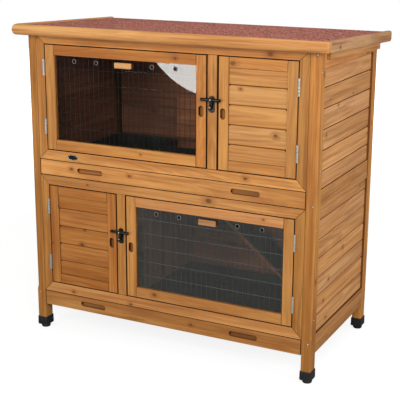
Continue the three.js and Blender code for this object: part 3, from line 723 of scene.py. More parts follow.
def shade_pockets(made, centres, size, face_y):
    """Painted shade in routed pockets: a darker timber inside, partly because routed wood takes more stain, and
    a near-black one on the side and top walls.
    """
    width, height, depth = size
    slack = 0.1 * MM

    def inside(at):
        return face_y + TIMBER_EDGE * 0.9 < at.y < face_y + depth + slack and any(
            abs(at.x - x) < width / 2 + slack and abs(at.z - z) < height / 2 + slack for x, z in centres)

    shade_or_stain(made, lambda at, normal: inside(at), WOOD_ROUTED_SHADE)
    shade_or_stain(made, lambda at, normal: inside(at) and abs(normal.y) < 0.7 and normal.z < 0.6)


def on_edge_of(low, high):
    """Picks the faces that lie on the outline of a box as seen from the front."""
    def near_edge(at, normal, i):
        return abs(normal[i]) > 0.3 and min(abs(at[i] - low[i]), abs(at[i] - high[i])) < TIMBER_EDGE

    return lambda at, normal: near_edge(at, normal, 0) or near_edge(at, normal, 2)


def outer_x(side, low, high):
    return low.x if side == "left" else high.x


def centre_of(low, high):
    return (low.x + high.x) / 2, (low.z + high.z) / 2


# ---------------------------------------------------------------- posts and foot caps

POST_EDGE = 1.8 * MM
CHAMFER = 6 * MM
CHAMFER_START = 168 * MM
CHAMFER_STOP_LENGTH = 14 * MM
CAP_WALL = 3.3  # mm
CAP_FLARE = [  # in mm: height, how far the skin stands in from the outside, corner radius
    (17.0, 0.0, 3.2), (14.4, 0.5, 3.4), (13.0, 2.4, 4.5), (12.2, 5.0, 7.0)]
GLIDE = [(11.4, 16.6), (6.0, 16.9), (2.6, 16.2), (0.8, 14.6), (0.0, 12.6)]  # height and radius in mm


def chamfer_cutter(name, corner_x, corner_y, top):
    """A long wedge that takes off a post's outer corner and runs out in a pointed stop."""
    stop = CHAMFER_START - CHAMFER_STOP_LENGTH
    stations = ((stop, 0.02 * MM), (CHAMFER_START, CHAMFER), (top + 2 * CHAMFER, CHAMFER))
    return ring_mesh(name, [[
        (corner_x - size, corner_y, z), (corner_x, corner_y - size, z),
        (corner_x + size, corner_y, z), (corner_x, corner_y + size, z)] for z, size in stations])


def make_post(end, side):
    node = f"post_{end}_{side}"
    low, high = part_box(node)
    leg_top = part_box("lower_drawer_front")[0].z
    cutters = []
    if end == "front":
        cutters.append(chamfer_cutter(node + "_chamfer", outer_x(side, low, high), low.y, high.z))
    mesh = ring_mesh(node, [
        [(low.x, low.y, z), (high.x, low.y, z), (high.x, high.y, z), (low.x, high.y, z)]
        for z in (low.z, leg_top, high.z)])
    made = timber_piece(node + "_timber", mesh, "z", node, WOOD_POST, cutters, POST_EDGE,
                        random_knots(low, high, "z"))
    # Painted shade: near-black where the post meets the front frame, dark on its face that looks along the side
    # wall.
    shade_or_stain(made, lambda at, normal: normal.x * INWARD[side] > 0.9 and at.z > leg_top)
    shade_or_stain(made, lambda at, normal: normal.y * INWARD[end] > 0.9 and at.z > leg_top, WOOD_SEAM_SHADE)


def make_foot_cap(end, side):
    node = f"foot_cap_{end}_{side}"
    low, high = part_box(node)
    middle = (low + high) / 2
    half_x, half_y = (high.x - low.x) / 2, (high.y - low.y) / 2
    top = high.z / MM
    sleeve = [
        (40.0, CAP_WALL, 1.0), (top, CAP_WALL, 1.0), (top, 1.2, 2.6), (top - 1.2, 0.3, 3.0),
        (top - 4, 0.4, 3.0), *CAP_FLARE]
    sizes = [(z, half_x - inset * MM, half_y - inset * MM, radius) for z, inset, radius in sleeve]
    sizes += [(z, radius * MM, radius * MM, radius * 0.999) for z, radius in GLIDE]
    rings = [
        [(x, y, z * MM) for x, y in rounded_rectangle(middle, reach_x, reach_y, radius * MM, 5)]
        for z, reach_x, reach_y, radius in sizes]
    plain_piece(node + "_sleeve", ring_mesh(node, rings), node, CAP_BLACK)


for end in ENDS:
    for side in SIDES:
        make_post(end, side)
        make_foot_cap(end, side)

# ---------------------------------------------------------------- fixed front frames

MULLION_GAP = {"upper": 5 * MM, "lower": 4 * MM}


def make_front_frame(level):
    """Four mitred members round the two doors of a storey, and the upright between the doors."""
    node = f"{level}_front_frame"
    low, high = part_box(node)
    window, panel = [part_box(f"{level}_{kind}_frame") for kind in ("window", "panel")]
    left_door, right_door = sorted((window, panel), key=lambda door: door[0].x)
    left, right = left_door[0].x - DOOR_GAP, right_door[1].x + DOOR_GAP
    bottom, top = window[0].z - DOOR_GAP, window[1].z + DOOR_GAP
    cut = min(left - low.x, bottom - low.z)
    out_left, out_right = low.x + JOINT_GAP, high.x - JOINT_GAP
    in_left, in_right = left + JOINT_GAP, right - JOINT_GAP
    stile_low, stile_top = low.z + JOINT_GAP, top + cut - JOINT_GAP
    head = [(in_left, top), (in_right, top), (out_right, high.z), (out_left, high.z)]
    if high.z - top > cut + 2 * MM:
        # The head is deeper than the mitre, so its hidden part runs square above the mitre.
        head.insert(2, (out_right, top + cut))
        head.append((out_left, top + cut))
    members = {  # direction of the grain, and outline in X and Z
        "bottom_rail": ("x", [(out_left, low.z), (out_right, low.z), (in_right, bottom), (in_left, bottom)]),
        "left_stile": ("z", [
            (low.x, stile_low), (left, bottom + JOINT_GAP), (left, top - JOINT_GAP), (low.x, stile_top)]),
        "right_stile": ("z", [
            (high.x, stile_low), (high.x, stile_top), (right, top - JOINT_GAP), (right, bottom + JOINT_GAP)]),
        "top_rail": ("x", head),
    }
    for part, (along, corners) in members.items():
        name = f"{level}_frame_{part}"
        flat_low = (min(x for x, z in corners), low.y, min(z for x, z in corners))
        flat_high = (max(x for x, z in corners), high.y, max(z for x, z in corners))
        made = timber_piece(name, prism_mesh(name, corners, "y", low.y, high.y), along, node, edge=0.9 * MM,
                            knots=random_knots(flat_low, flat_high, along, 0.35),
                            stands_in=part == "bottom_rail")
        # Painted shade on the edge faces, in the gaps and mitres.
        shade_or_stain(made, lambda at, normal: max(abs(normal.x), abs(normal.z)) > 0.3)
    name = f"{level}_mullion"
    gap = MULLION_GAP[level]
    flat_low = (left_door[1].x + gap, low.y, bottom + JOINT_GAP)
    flat_high = (right_door[0].x - gap, high.y, top - JOINT_GAP)
    made = timber_piece(name, box_mesh(name, flat_low, flat_high), "z", node,
                        knots=random_knots(flat_low, flat_high, "z", 0.2), stands_in=False)
    # Painted shade on the mullion's sides, in the gaps beside the doors.
    shade_or_stain(made, lambda at, normal: abs(normal.x) > 0.3)


for level in LEVELS:
    make_front_frame(level)

# ---------------------------------------------------------------- shiplap boards and side walls

LAP = 4.2 * MM  # how far one board runs behind the next
BOARD_SKIN = 4.0 * MM
COVE_HEIGHT = 6.0 * MM
COVE_DEPTH = BOARD_SKIN + 1.2 * MM
NOTCH = (5 * MM, 8 * MM, 6.5 * MM)  # length along the board, depth into it and height below the seam
NOTCH_PROUD = 1 * MM  # how far a notch's cutter stands out of the board
HOLLOW_START = 1.6 * MM  # depth where the painted shade in a seam's hollow begins
SIDE_SEAMS = {
    "lower": [(229.3 + 64.4 * i) * MM for i in range(6)],
    "upper": [(713.0 + 66.8 * i) * MM for i in range(5)],
}
SIDE_TONES = (1.08, 1.16, 1.05, 1.14, 1.04, 1.12, 1.05)  # from the lowest board of a wall up


def board_profile(face, inward, thickness, z0, z1, first, last):
    """Section of a shiplap board as (depth, z): a lip below, a coved shoulder and a tongue above."""
    tongue = z1 - 0.5 * MM if last else z1 + LAP
    rebate = z0 + LAP + 0.3 * MM
    section = [
        (0, z0), (0, z1 - COVE_HEIGHT), (1.4 * MM, z1 - COVE_HEIGHT * 0.66), (COVE_DEPTH, z1 - 1.2 * MM),
        (COVE_DEPTH, tongue), (thickness, tongue)]
    section += [(thickness, z0)] if first else [(thickness, rebate), (BOARD_SKIN, rebate), (BOARD_SKIN, z0)]
    return [(face + inward * depth, z) for depth, z in section]


def end_notches(run_low, run_high, across, face, inward, seam):
    """Small hollows at both ends of a board, just below the seam over it."""
    length, depth, height = NOTCH
    boxes = []
    for run in ((run_low - NOTCH_PROUD, run_low + length), (run_high - length, run_high + NOTCH_PROUD)):
        spans = [run]
        spans.insert(across, sorted((face - inward * NOTCH_PROUD, face + inward * depth)))
        corners = list(zip(*spans, (seam - height, seam + LAP + NOTCH_PROUD)))
        boxes.append(box_mesh("notch", *corners))
    return boxes


def make_boards(node, seams, along, face, inward, material, tones, knot_chance, knot_size, inset=0.0, tan=0.0,
                lining=None, seam_shade=WOOD_SEAM_SHADE):
    """Shiplap boards between seams, from the lowest up; face is the outer face's place across the wall."""
    low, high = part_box(node)
    run = AXIS_INDEX[along]
    across = 1 - run
    heights = [low.z, *seams, high.z]
    for i, (z0, z1) in enumerate(zip(heights, heights[1:])):
        last = i == len(seams)
        name = node.replace("boards", f"board_{i + 1}")
        outline = board_profile(face, inward, high[across] - low[across], z0, z1, i == 0, last)
        knots = random_knots((low.x, low.y, z0), (high.x, high.y, z1), along, knot_chance, knot_size)
        cutters = [] if last else end_notches(low[run] + inset, high[run] - inset, across, face, inward, z1)
        mesh = prism_mesh(name, outline, along, low[run], high[run])
        made = timber_piece(name, mesh, along, node, material, cutters, BOARD_EDGE, knots,
                            tones[i], tan, stands_in=i == 0)
        # The inner faces get the darker lining timber as painted shade inside the hutch.
        if lining:
            shade_or_stain(made, lambda at, normal: normal[across] * inward > 0.9, lining)
        if not last:
            # Painted shade: the hollow under a seam gets a darker timber.
            def in_hollow(at, normal):
                return (at[across] - face) * inward > HOLLOW_START and at.z > z1 - COVE_HEIGHT

            shade_or_stain(made, in_hollow, seam_shade)


def make_side_boards(side, level):
    node = f"{side}_{level}_boards"
    make_boards(node, SIDE_SEAMS[level], "y", outer_x(side, *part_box(node)), INWARD[side], WOOD_BOARD,
                SIDE_TONES, 0.3, (3, 7), tan=0.32, lining=WOOD_LINING_SHADE)


def make_rail(side, part):
    """Keeps the CAD section of a side rail, with its tray ledge, and rounds and grains it."""
    node = f"{side}_{part}_rail"
    made = timber_piece(node + "_timber", clean_copy(node), "y", node,
                        knots=random_knots(*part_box(node), "y", 0.3))
    # Painted shade: the lining timber on the inner face, a dark one on the ends and on top.
    shade_or_stain(made, lambda at, normal: normal.x * INWARD[side] > 0.9, WOOD_LINING_SHADE)
    shade_or_stain(made, lambda at, normal: abs(normal.y) > 0.9 or normal.z > 0.9, WOOD_SEAM_SHADE)


for side in SIDES:
    for level in LEVELS:
        make_side_boards(side, level)
    for part in ("bottom", "mid", "top"):
        make_rail(side, part)

# ---------------------------------------------------------------- back wall

BACK_BOARDS = {"lower": 7, "upper": 8}
BACK_GROOVE = 1.6 * MM


def make_back(level):
    """Tongued boards with a small V where they meet, on the outside and the inside."""
    node = f"{level}_back_panel"
    low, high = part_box(node)
    pitch = (high.z - low.z) / BACK_BOARDS[level]
    for i in range(BACK_BOARDS[level]):
        z0, z1 = low.z + i * pitch, low.z + (i + 1) * pitch
        edge_low, edge_high = z0 + JOINT_GAP / 2, z1 - JOINT_GAP / 2
        front, rear = low.y + BACK_GROOVE, high.y - BACK_GROOVE
        outline = [
            (low.y, z0 + BACK_GROOVE), (front, edge_low), (rear, edge_low), (high.y, z0 + BACK_GROOVE),
            (high.y, z1 - BACK_GROOVE), (rear, edge_high), (front, edge_high), (low.y, z1 - BACK_GROOVE)]
        name = f"{level}_back_board_{i + 1}"
        knots = random_knots((low.x, low.y, z0), (high.x, high.y, z1), "x", 0.7, (3, 8))
        made = timber_piece(name, prism_mesh(name, outline, "x", low.x, high.x), "x", node, WOOD_BOARD,
                            (), 0.4 * MM, knots, 0.96, stands_in=i == 0)
        # Painted shade in the V between boards; the inner faces take the inner timber.
        shade_or_stain(made, lambda at, normal: abs(normal.z) > 0.3, WOOD_SEAM_SHADE)
        shade_or_stain(made, lambda at, normal: normal.y < -0.5, WOOD_INNER)


for level in LEVELS:
    make_back(level)

# ---------------------------------------------------------------- inside: partitions, ramp and hatch

RAMP_FELT_MARGIN = 9 * MM
RAMP_FELT_ENDS = (6 * MM, 30 * MM)  # bare board left at the ramp's top and at its foot


def make_partition(level):
    node = f"{level}_partition"
    timber_piece(node + "_panel", clean_copy(node), "z", node, WOOD_INNER, edge=0.8 * MM)


def make_ramp():
    """The board, and a strip of grit felt on its top face."""
    node = "ramp"
    low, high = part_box(node)
    run = Vector((high.x - low.x, 0, low.z - high.z))
    slope = run.normalized()
    up = Vector((-slope.z, 0, slope.x))
    top = Vector((low.x, 0, high.z))
    timber_piece("ramp_board", clean_copy(node), "x", node, WOOD_INNER, edge=0.9 * MM)
    corners = []
    for distance in (RAMP_FELT_ENDS[0], run.length - RAMP_FELT_ENDS[1]):
        for y in (low.y + RAMP_FELT_MARGIN, high.y - RAMP_FELT_MARGIN):
            for height in (0.1 * MM, 1.3 * MM):
                point = top + slope * distance + up * height
                corners.append((point.x, y, point.z))
    faces = [(0, 1, 3, 2), (4, 6, 7, 5), (0, 4, 5, 1), (2, 3, 7, 6), (0, 2, 6, 4), (1, 5, 7, 3)]
    plain_piece("ramp_covering", mesh_from("ramp_felt", corners, faces), node, RAMP_FELT,
                edge=0.3 * MM, stands_in=False)


for level in LEVELS:
    make_partition(level)
make_ramp()
# The hatch is made half again brighter: painted light against the shade that falls on it inside.
timber_piece("ramp_hatch_board", box_mesh("ramp_hatch", *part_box("ramp_hatch")), "x", "ramp_hatch", WOOD_INNER,
             bright=1.5)

# ---------------------------------------------------------------- drawers

DRAWER_PULL = (104 * MM, 18 * MM, 12 * MM)
DRAWER_PULL_OFFSETS = (-299.5 * MM, 297.5 * MM)
CUTTER_PROUD = 10 * MM  # how far a cutter stands out of the face that it cuts


def pocket_cutter(name, centre, size, face_y):
    width, height, depth = size
    return prism_mesh(name, slot_outline(centre, width, height), "y", face_y - CUTTER_PROUD, face_y + depth)


def make_drawer(level):
    node = f"{level}_drawer_front"
    low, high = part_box(node)
    centres = [(x, centre_of(low, high)[1]) for x in DRAWER_PULL_OFFSETS]
    cutters = [pocket_cutter(node + "_pull", centre, DRAWER_PULL, low.y) for centre in centres]
    made = timber_piece(f"{level}_drawer_face", box_mesh(node, low, high), "x", node, cutters=cutters)
    # Painted shade in the pulls and on the edges in the gap round the drawer.
    shade_pockets(made, centres, DRAWER_PULL, low.y)
    shade_or_stain(made, on_edge_of(low, high))
    tray = frame["nodes"][f"{level}_tray"]
    tray.data.materials.clear()
    tray.data.materials.append(TRAY_BLACK)
    add_rounding(tray, 0.9 * MM)


for level in LEVELS:
    make_drawer(level)

# ---------------------------------------------------------------- doors

FINGER_PULL = (18 * MM, 36 * MM, 13 * MM)
PULL_CENTRES = {  # distance of each pull's middle from the door's free edge, and its height
    "upper_window": (18.5 * MM, 880 * MM), "upper_panel": (15.0 * MM, 878 * MM),
    "lower_window": (16.5 * MM, 375.5 * MM), "lower_panel": (19.5 * MM, 380.5 * MM),
}
PANE_SLACK = 0.6 * MM
PANE_LIFT = 9 * MM  # room over the pane in its groove
TONGUE = 6 * MM  # the ends of panel boards that the stiles hide
PANEL_SEAMS = {
    "upper": [(783 + 64.7 * i) * MM for i in range(4)],
    "lower": [(283 + 65.8 * i) * MM for i in range(4)],
}
PANEL_TONES = {"upper": (1.0, 0.96, 1.03, 0.97, 1.02), "lower": (0.71, 0.76, 0.72, 0.77, 0.74)}
RUSSET_PIECES = {
    "lower_panel_left_stile", "lower_panel_right_stile", "lower_panel_top_rail", "lower_panel_bottom_rail",
    "upper_window_top_rail", "upper_window_right_stile",
}


def make_door_frame(level, kind):
    key = f"{level}_{kind}"
    node = key + "_frame"
    low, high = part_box(node)
    inner_low, inner_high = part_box(f"{level}_window_pane" if kind == "window" else f"{level}_panel_boards")
    slack = Vector((PANE_SLACK, PANE_SLACK, PANE_SLACK))
    groove_low = inner_low - slack
    groove_high = inner_high + slack + Z_AXIS * (PANE_LIFT if kind == "window" else 0.0)
    edge_gap, pull_z = PULL_CENTRES[key]
    pull_side = "right" if HINGE_SIDE[key] == "left" else "left"
    pull = (outer_x(pull_side, low, high) + INWARD[pull_side] * edge_gap, pull_z)
    left, right = low.x + MEMBER, high.x - MEMBER
    parts = {
        "left_stile": ("z", (low.x, low.y, low.z), (left, high.y, high.z)),
        "right_stile": ("z", (right, low.y, low.z), (high.x, high.y, high.z)),
        "bottom_rail": (
            "x", (left + JOINT_GAP, low.y, low.z), (right - JOINT_GAP, high.y, low.z + MEMBER)),
        "top_rail": (
            "x", (left + JOINT_GAP, low.y, high.z - MEMBER), (right - JOINT_GAP, high.y, high.z)),
    }
    for part, (along, part_low, part_high) in parts.items():
        name = f"{key}_{part}"
        cutters = [box_mesh(name + "_groove", groove_low, groove_high)]
        if part == f"{pull_side}_stile":
            cutters.append(pocket_cutter(name + "_pull", pull, FINGER_PULL, low.y))
        made = timber_piece(
            name, box_mesh(name, part_low, part_high), along, node,
            WOOD_RUSSET if name in RUSSET_PIECES else WOOD_DOOR, cutters,
            knots=random_knots(part_low, part_high, along, 0.1, (2, 4)), stands_in=part == "left_stile")
        # Painted shade in the finger pull, on the edges in the gaps round the door, at the rail ends and round
        # the panel's opening.
        shade_pockets(made, [pull], FINGER_PULL, low.y)
        shade_or_stain(made, on_edge_of(low, high))
        if along == "x":
            shade_or_stain(made, lambda at, normal: abs(normal.x) > 0.3)
        if kind == "panel":
            rim = Vector((MEMBER, 0, MEMBER))
            shade_or_stain(made, on_edge_of(low + rim, high - rim), WOOD_SEAM_SHADE)


WIRE_RADIUS = 0.9 * MM
WIRE_PITCH = (19.7 * MM, 54.6 * MM)
WIRE_DOME = 0.55  # radius at a wire's very end, as a share of the wire's


def wire(start, end):
    """A straight round wire with domed ends."""
    start, end = Vector(start), Vector(end)
    along = (end - start).normalized()
    side = along.orthogonal().normalized()
    other = along.cross(side)
    dome = along * WIRE_RADIUS
    return ring_mesh("wire", [
        circle_round(point, side, other, WIRE_RADIUS * size, 8)
        for point, size in ((start, WIRE_DOME), (start + dome, 1.0), (end - dome, 1.0), (end, WIRE_DOME))])


def spread(low, high, pitch):
    """Middles of wires that fill a span from edge to edge at about a pitch."""
    count = round((high - low) / pitch)
    return [low + WIRE_RADIUS + (high - low - 2 * WIRE_RADIUS) * i / count for i in range(count + 1)]


def make_window_mesh(level):
    """Welded mesh: the level wires lie in front and the upright ones are welded behind them."""
    node = f"{level}_window_mesh"
    low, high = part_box(node)
    front = low.y + WIRE_RADIUS * 0.6
    back = front + WIRE_RADIUS * 1.8
    crossing = [wire((low.x, front, z), (high.x, front, z)) for z in spread(low.z, high.z, WIRE_PITCH[1])]
    upright = [wire((x, back, low.z), (x, back, high.z)) for x in spread(low.x, high.x, WIRE_PITCH[0])]
    # Painted shade: only the lower door's level wires take the lighter wire.
    plain_piece(f"{level}_crossing_wires", join_meshes(node, crossing), node,
                WIRE if level == "lower" else WIRE_IN_SHADE)
    plain_piece(f"{level}_upright_wires", join_meshes(node, upright), node, WIRE_IN_SHADE,
                stands_in=False)


VENT_RADIUS = 6.5 * MM
VENT_DROP = 24 * MM
VENT_OFFSETS = [offset * MM for offset in (-197, -109, 109, 197)]
VENT_BURR = ((6.6, -0.1), (6.65, 0.4), (7.1, 0.45), (7.7, 0.05))  # radius and height over the face in mm


def make_pane(level):
    """The acrylic sheet, its frosted edges darkened as painted shade, and the low burr that drilling raises
    round each vent hole.
    """
    node = f"{level}_window_pane"
    low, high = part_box(node)
    vents = [(centre_of(low, high)[0] + offset, high.z - VENT_DROP) for offset in VENT_OFFSETS]
    cutters = [
        prism_mesh("vent", slot_outline(vent, 2 * VENT_RADIUS, 2 * VENT_RADIUS), "y",
                   low.y - CUTTER_PROUD, high.y + CUTTER_PROUD) for vent in vents]
    made = plain_piece(f"{level}_acrylic_sheet", box_mesh(node, low, high), node, ACRYLIC,
                       0.3 * MM, cutters, 1)
    shade_or_stain(made, lambda at, normal: abs(normal.y) <= 0.9, ACRYLIC_EDGE_SHADE)
    rims = [
        ring_mesh("rim", [
            circle_round((x, low.y - proud * MM, z), X_AXIS, Z_AXIS, radius * MM, 24)
            for radius, proud in VENT_BURR], ends=False)
        for x, z in vents]
    plain_piece(f"{level}_vent_rims", join_meshes("rims", rims), node, ACRYLIC_BURR,
                stands_in=False)


def make_tab(level):
    node = f"{level}_window_tab"
    timber_piece(f"{level}_grip_tab", box_mesh(node, *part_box(node)), "x", node, WOOD_TRIM,
                 edge=1.6 * MM, segments=3, bright=1.08)


for level in LEVELS:
    make_door_frame(level, "window")
    make_window_mesh(level)
    make_pane(level)
    make_tab(level)
    make_door_frame(level, "panel")
    panel = f"{level}_panel_boards"
    make_boards(panel, PANEL_SEAMS[level], "x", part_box(panel)[0].y, 1,
                WOOD_BOARD if level == "upper" else WOOD_RUSSET, PANEL_TONES[level], 0.2, (3, 6),
                inset=TONGUE, seam_shade=WOOD_ROUTED_SHADE)

# ---------------------------------------------------------------- hinges

KNUCKLES = 5
KNUCKLE_RADIUS = 4 * MM
KNUCKLE_GAP = 0.25 * MM
PIN_RADIUS = 1.6 * MM
LEAF_INSET, LEAF_THICKNESS = 6.35 * MM, 0.85 * MM


def upright_rod(centre, radius, z0, z1, soft):
    """An upright rod whose ends are slightly rounded."""
    return ring_mesh("rod", [
        circle_round((*centre, z), X_AXIS, Y_AXIS, size, 20)
        for z, size in ((z0, radius - soft), (z0 + soft, radius), (z1 - soft, radius), (z1, radius - soft))])


def make_hinge(level, side, index):
    """Butt hinge: knuckles 1, 3 and 5 and one leaf stay on the frame, 2 and 4 turn with the door."""
    node = f"{level}_{side}_hinge_{index}"
    low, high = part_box(node)
    edge_x, inward = outer_x(side, low, high), INWARD[side]
    axis = (edge_x + inward * KNUCKLE_RADIUS, low.y + KNUCKLE_RADIUS)
    step = (high.z - low.z) / KNUCKLES
    starts = [low.z + k * step for k in range(KNUCKLES)]
    knuckles = [
        upright_rod(axis, KNUCKLE_RADIUS, start + KNUCKLE_GAP, start + step - KNUCKLE_GAP, 0.5 * MM)
        for start in starts]
    leaf_x = sorted(edge_x + inward * reach for reach in (LEAF_INSET, LEAF_INSET + LEAF_THICKNESS))
    pin = upright_rod(axis, PIN_RADIUS, low.z, high.z, 0.4 * MM)
    leaf = box_mesh("leaf", (leaf_x[0], axis[1], low.z), (leaf_x[1], high.y, high.z))
    plain_piece(node + "_frame_leaf", join_meshes("hinge", [pin, *knuckles[::2], leaf]), node, NICKEL,
                0.15 * MM, (), 1)
    kind = "window" if HINGE_SIDE[f"{level}_window"] == side else "panel"
    plain_piece(node + "_door_knuckles", join_meshes("hinge", knuckles[1::2]), f"{level}_{kind}_frame",
                NICKEL, 0.15 * MM, (), 1, stands_in=False)


for level in LEVELS:
    for side in SIDES:
        for index in (1, 2):
            make_hinge(level, side, index)

# ---------------------------------------------------------------- screws

SCREW_RADIUS = 3.6 * MM
SCREW_HEIGHT = 0.55 * SCREW_RADIUS
SCREW_DOME = ((0.35, 0.97), (0.7, 0.8), (0.92, 0.5), (1.0, 0.18), (1.0, 0.0))  # shares of radius and height
SCREW_TURN = 0.35  # radians
SCREW_INSET = 11 * MM
FRONT_SCREWS = {"left": (141.8, 608.9), "right": (141.8, 608.9, 1086.0)}  # heights in mm
FLANK_SCREWS = ((16, 224), (18, 528), (30, 719), (20, 1030))  # distance from the front and height in mm


def screw_head(centre, normal):
    """A pan head with a cross recess, its axis along normal."""
    rings = [
        circle_round((0, 0, SCREW_HEIGHT * height), X_AXIS, Y_AXIS, SCREW_RADIUS * size, 20)
        for size, height in SCREW_DOME]
    blank = new_object("screw_blank", ring_mesh("head", rings))
    slots = []
    for turn in (SCREW_TURN, SCREW_TURN + math.pi / 2):
        reach, half = SCREW_RADIUS * 0.62, SCREW_RADIUS * 0.13
        slots.append(box_mesh("slot", (-reach, -half, SCREW_HEIGHT * 0.35), (reach, half, SCREW_HEIGHT * 2)))
        slots[-1].transform(Matrix.Rotation(turn, 4, "Z"))
    cut_and_round(blank, slots, 0.0)
    mesh = blank.data
    bpy.data.objects.remove(blank)
    place = Z_AXIS.rotation_difference(Vector(normal)).to_matrix().to_4x4()
    mesh.transform(Matrix.Translation(centre) @ place)
    return mesh


for side in SIDES:
    post = f"post_front_{side}"
    post_low, post_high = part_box(post)
    edge_x = outer_x(side, post_low, post_high)
    groups = {
        "front": ((0, -1, 0), [
            (edge_x + INWARD[side] * SCREW_INSET, post_low.y, z * MM) for z in FRONT_SCREWS[side]]),
        "side": ((-INWARD[side], 0, 0), [(edge_x, post_low.y + y * MM, z * MM) for y, z in FLANK_SCREWS]),
    }
    for face, (normal, spots) in groups.items():
        name = f"{side}_post_{face}_screws"
        heads = [screw_head(Vector(spot), normal) for spot in spots]
        plain_piece(name, join_meshes(name, heads), post, BRIGHT, angle=35.0, stands_in=False)

# ---------------------------------------------------------------- latches

LATCH_DROP = 12 * MM  # from the plate's top to the bar's middle
LATCH_CORNER = 8 * MM
BAR_DEPTH = 6.7 * MM  # from the handle's front to the bar's middle
# One half of the bar: share of its reach, and radius in mm.
BAR_HALF = [(0.0, 5.1), (0.3, 4.9), (0.86, 5.2), (0.95, 4.8), (0.985, 3.7), (1.0, 1.8)]
LEVER_DROP, LEVER_LEAN = 30 * MM, -5 * MM
LEVER_STEPS = 8
LEVER_BULGE = (6, 7)  # the steps where the lever is a little thicker
RIVET = [(0.0, 3.4), (1.6, 3.2), (2.4, 2.2), (2.7, 0.8)]  # distance out and radius in mm


def tube_along(points, radii):
    """A round bar through the points with a radius at each, its ends filled."""
    rings = []
    for before, point, after, radius in zip(points[:1] + points, points, points[1:] + points[-1:], radii):
        along = (after - before).normalized()
        side = along.cross(Y_AXIS)
        side = side.normalized() if side.length > 1e-6 else X_AXIS
        rings.append(circle_round(point, side, along.cross(side).normalized(), radius, 16))
    return ring_mesh("tube", rings)


def turned(centre, profile):
    """A turned piece on an axis along -Y: the profile is (distance out of the face, radius)."""
    return ring_mesh("turned", [
        circle_round(Vector(centre) - Y_AXIS * out, X_AXIS, Z_AXIS, radius, 24) for out, radius in profile])


def make_latch(level):
    plate_node, handle_node = f"{level}_latch_plate", f"{level}_latch_handle"
    low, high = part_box(plate_node)
    handle_low, handle_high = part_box(handle_node)
    x, middle_z = centre_of(low, high)
    z = high.z - LATCH_DROP
    outline = unique_points(rounded_rectangle(
        (x, middle_z), (high.x - low.x) / 2, (high.z - low.z) / 2, LATCH_CORNER, 6))
    plain_piece(f"{level}_latch_back", prism_mesh(plate_node, outline, "y", low.y, high.y), plate_node,
                LATCH_BLACK, edge=0.8 * MM)
    bar_y = handle_low.y + BAR_DEPTH
    reach = (handle_high.x - handle_low.x) / 2
    stations = [(-share, radius) for share, radius in BAR_HALF[:0:-1]] + BAR_HALF
    bar = tube_along([Vector((x + reach * share, bar_y, z)) for share, radius in stations],
                     [radius * MM for share, radius in stations])
    depth = high.y - handle_low.y
    hub = turned((x, low.y, z), [
        (0.3 * MM, 6.6 * MM), (2.5 * MM, 6.9 * MM), (depth * 0.55, 6.7 * MM), (depth * 0.72, 5.9 * MM),
        (depth * 0.81, 3.6 * MM)])
    spine, radii = [], []
    for i in range(LEVER_STEPS + 1):
        share = i / LEVER_STEPS
        spine.append(Vector((
            x + LEVER_LEAN * share * share, bar_y + 0.6 * MM - 1.6 * MM * math.sin(math.pi * share),
            z - LEVER_DROP * share - 2 * MM)))
        radii.append((4.2 - 1.1 * share + (0.8 if i in LEVER_BULGE else 0.0)) * MM)
    tip = spine[-1] + Vector((-0.4 * MM, 0, -2.2 * MM))
    lever = tube_along([*spine, tip], [*radii, 1.6 * MM])
    plain_piece(f"{level}_latch_lever", join_meshes(handle_node, [bar, hub, lever]), handle_node, LATCH_BLACK,
                angle=55.0)
    # Bright metal where the black latch shows glints: a rivet head on the hub, partly a real rivet and partly
    # painted highlight, and a band round the lever, painted highlight.
    rivet = turned((x - 0.6 * MM, handle_low.y + 2.9 * MM, z), [(out * MM, size * MM) for out, size in RIVET])
    waist = spine[LEVER_BULGE[0]]
    lever_glint = tube_along(
        [waist + Vector((0.8 * MM, 0, 2.6 * MM)), waist, waist + Vector((-0.9 * MM, 0, -2.6 * MM))],
        [4.2 * MM, 4.35 * MM, 4.1 * MM])
    plain_piece(f"{level}_latch_rivets", join_meshes("rivets", [rivet, lever_glint]), handle_node, BRIGHT,
                angle=35.0, stands_in=False)


for level in LEVELS:
    make_latch(level)

# ---------------------------------------------------------------- badge

# Sections of the badge: inset from its outline in mm, and height as a share of its thickness.
BADGE_RIM = [(0.2, 0.0), (0.0, 0.5), (0.6, 0.95), (1.6, 1.0), (2.2, 0.8), (2.4, 0.5)]
BADGE_FIELD = [(2.5, 0.45), (2.55, 0.62), (4.2, 0.74), (7.0, 0.8)]


def make_badge():
    """A blank oval plate: a bright rim round a dark field."""
    low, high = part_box("badge")
    x, z = centre_of(low, high)

    def ovals(name, profile):
        return ring_mesh(name, [
            circle_round(
                (x, high.y - (high.y - low.y) * out, z), X_AXIS * ((high.x - low.x) / 2 - inset * MM),
                Z_AXIS * ((high.z - low.z) / 2 - inset * MM), 1.0, 40)
            for inset, out in profile])

    plain_piece("badge_rim", ovals("rim", BADGE_RIM), "badge", BRIGHT, angle=50.0)
    plain_piece("badge_field", ovals("field", BADGE_FIELD), "badge", LATCH_BLACK, angle=60.0,
                stands_in=False)


make_badge()

# ---------------------------------------------------------------- roof

